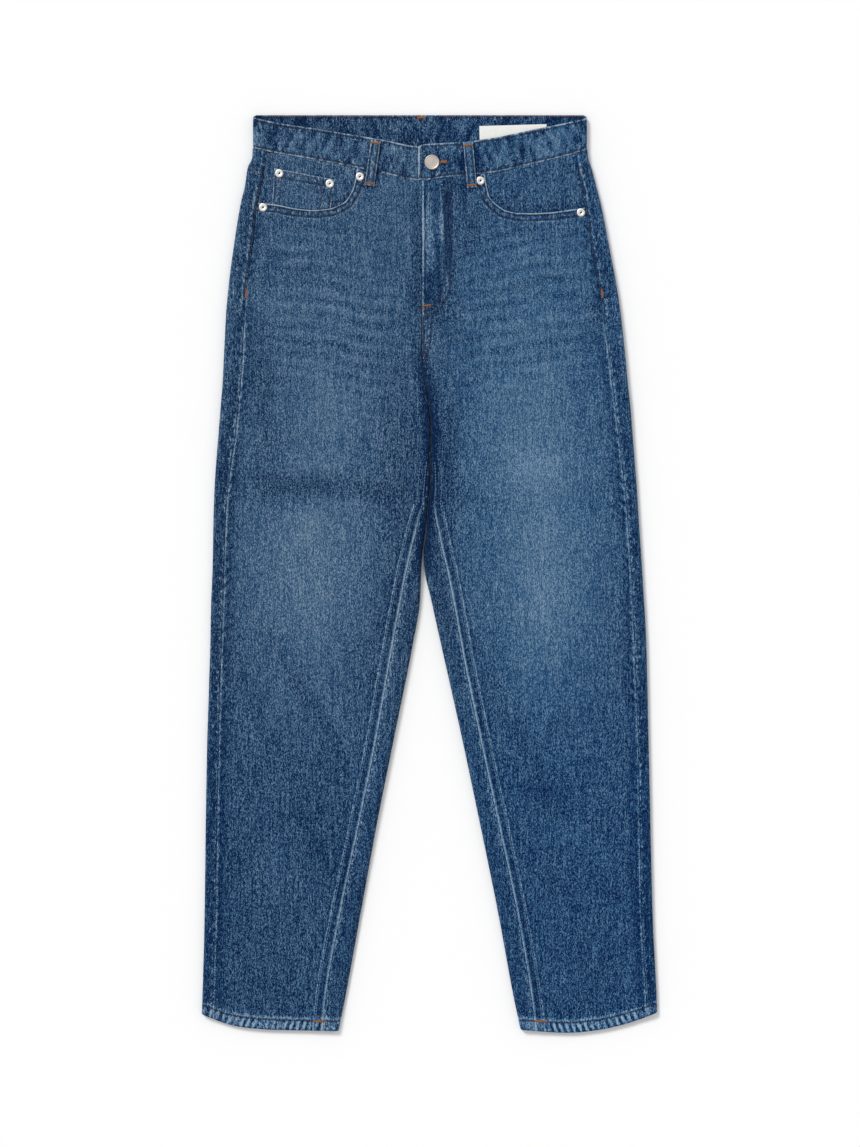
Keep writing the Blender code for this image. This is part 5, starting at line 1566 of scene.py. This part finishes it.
def sew_back_pocket(side, name, brown, orange):
    """Two lines round the pocket, two along its mouth, and a tack at each corner."""
    centre, mouth = BACK_POCKET_AT[side]
    for inset in (2.0, 8.6):
        outs = np.array([inset - 76, inset - 72.2, 0, 72.2 - inset, 76 - inset])
        downs = np.array([1, 118 - inset * 0.3, 148 - inset * 1.1, 118 - inset * 0.3, 1])
        brown.line([name], spread(side, centre + outs, mouth + downs))
    for inset in (2.0, 24.0):
        brown.line([name], spread(side, (centre - 74, centre + 74), mouth + inset))
    for edge in (-74.5, 74.5):
        orange.tack([name], *spread(side, centre + edge, (mouth + 1.5, mouth + 9)))


def make_pieces():
    for side in SIDES:
        back(side)
        yoke(side)
        front(side)
        waistband(side)
        pocket_facing(side)
        back_pocket(side)
    coin_pocket()
    label()
    zip_fastener()
    for loop in FRONT_LOOPS:
        belt_loop(loop, False)
    for loop in BACK_LOOPS:
        belt_loop(loop, True)
    metal_pieces()
    sew_top()
    sew_under()


make_pieces()

# Width, length and area of every piece's cut, in metres, and what it lies on.
Cut = namedtuple("Cut", "width length area rests_on")
CUTS = {
    "cloth_front_{side}": Cut(0.262, 0.985, 0.179, ["cloth_back_{side}"]),
    "cloth_back_{side}": Cut(0.300, 0.960, 0.231, []),
    "cloth_yoke_{side}": Cut(0.230, 0.065, 0.0089, []),
    "cloth_waistband_{side}": Cut(0.415, 0.036, 0.0148, []),
    "cloth_facing_{side}": Cut(0.126, 0.085, 0.0072, ["cloth_back_{side}"]),
    "cloth_back_pocket_{side}": Cut(0.152, 0.148, 0.0196, []),
}


for name, cut in CUTS.items():
    for side in SIDES:
        rests = [part.format(side=side) for part in cut.rests_on]
        cut._replace(rests_on=rests)
for loop in FRONT_LOOPS + BACK_LOOPS:
    under = loop in BACK_LOOPS
    rests = [] if under else ["cloth_waistband_" + loop.name.split("_")[1]]


# Floor, light and camera

def floor():
    half, high = 3.0, -0.0004
    corners = [(-half, -half, high), (half, -half, high), (half, half, high), (-half, half, high)]
    mesh = mesh_of("floor", corners, [(0, 1, 2, 3)])
    material = bpy.data.materials.new("floor")
    material.use_nodes = True
    shader = material.node_tree.nodes["Principled BSDF"]
    shader.inputs["Base Color"].default_value = (1.0, 1.0, 1.0, 1.0)
    shader.inputs["Roughness"].default_value = 1.0
    shader.inputs["Specular IOR Level"].default_value = 0.0
    mesh.materials.append(material)
    thing = bpy.data.objects.new("floor", mesh)
    bpy.context.scene.collection.objects.link(thing)


def light_and_camera():
    scene = bpy.context.scene
    world = bpy.data.worlds.new("room")
    scene.world = world
    world.use_nodes = True
    sky = world.node_tree.nodes["Background"]
    sky.inputs[0].default_value = (1.0, 1.0, 1.0, 1.0)
    sky.inputs[1].default_value = 0.62
    sun = bpy.data.lights.new("sun", "SUN")
    sun.energy = 1.76
    sun.angle = 0.3
    lamp = bpy.data.objects.new("sun", sun)
    lamp.rotation_euler = Vector((-0.44, 0.6, 0.68)).to_track_quat("Z", "Y").to_euler()
    scene.collection.objects.link(lamp)
    camera = bpy.data.cameras.new("camera")
    camera.lens = 83.2
    camera.sensor_width = 36.0
    eye = bpy.data.objects.new("camera", camera)
    eye.location = (0.0006, 0.0004, 3.0)
    scene.collection.objects.link(eye)
    scene.camera = eye
    scene.view_settings.view_transform = "Standard"


floor()
light_and_camera()
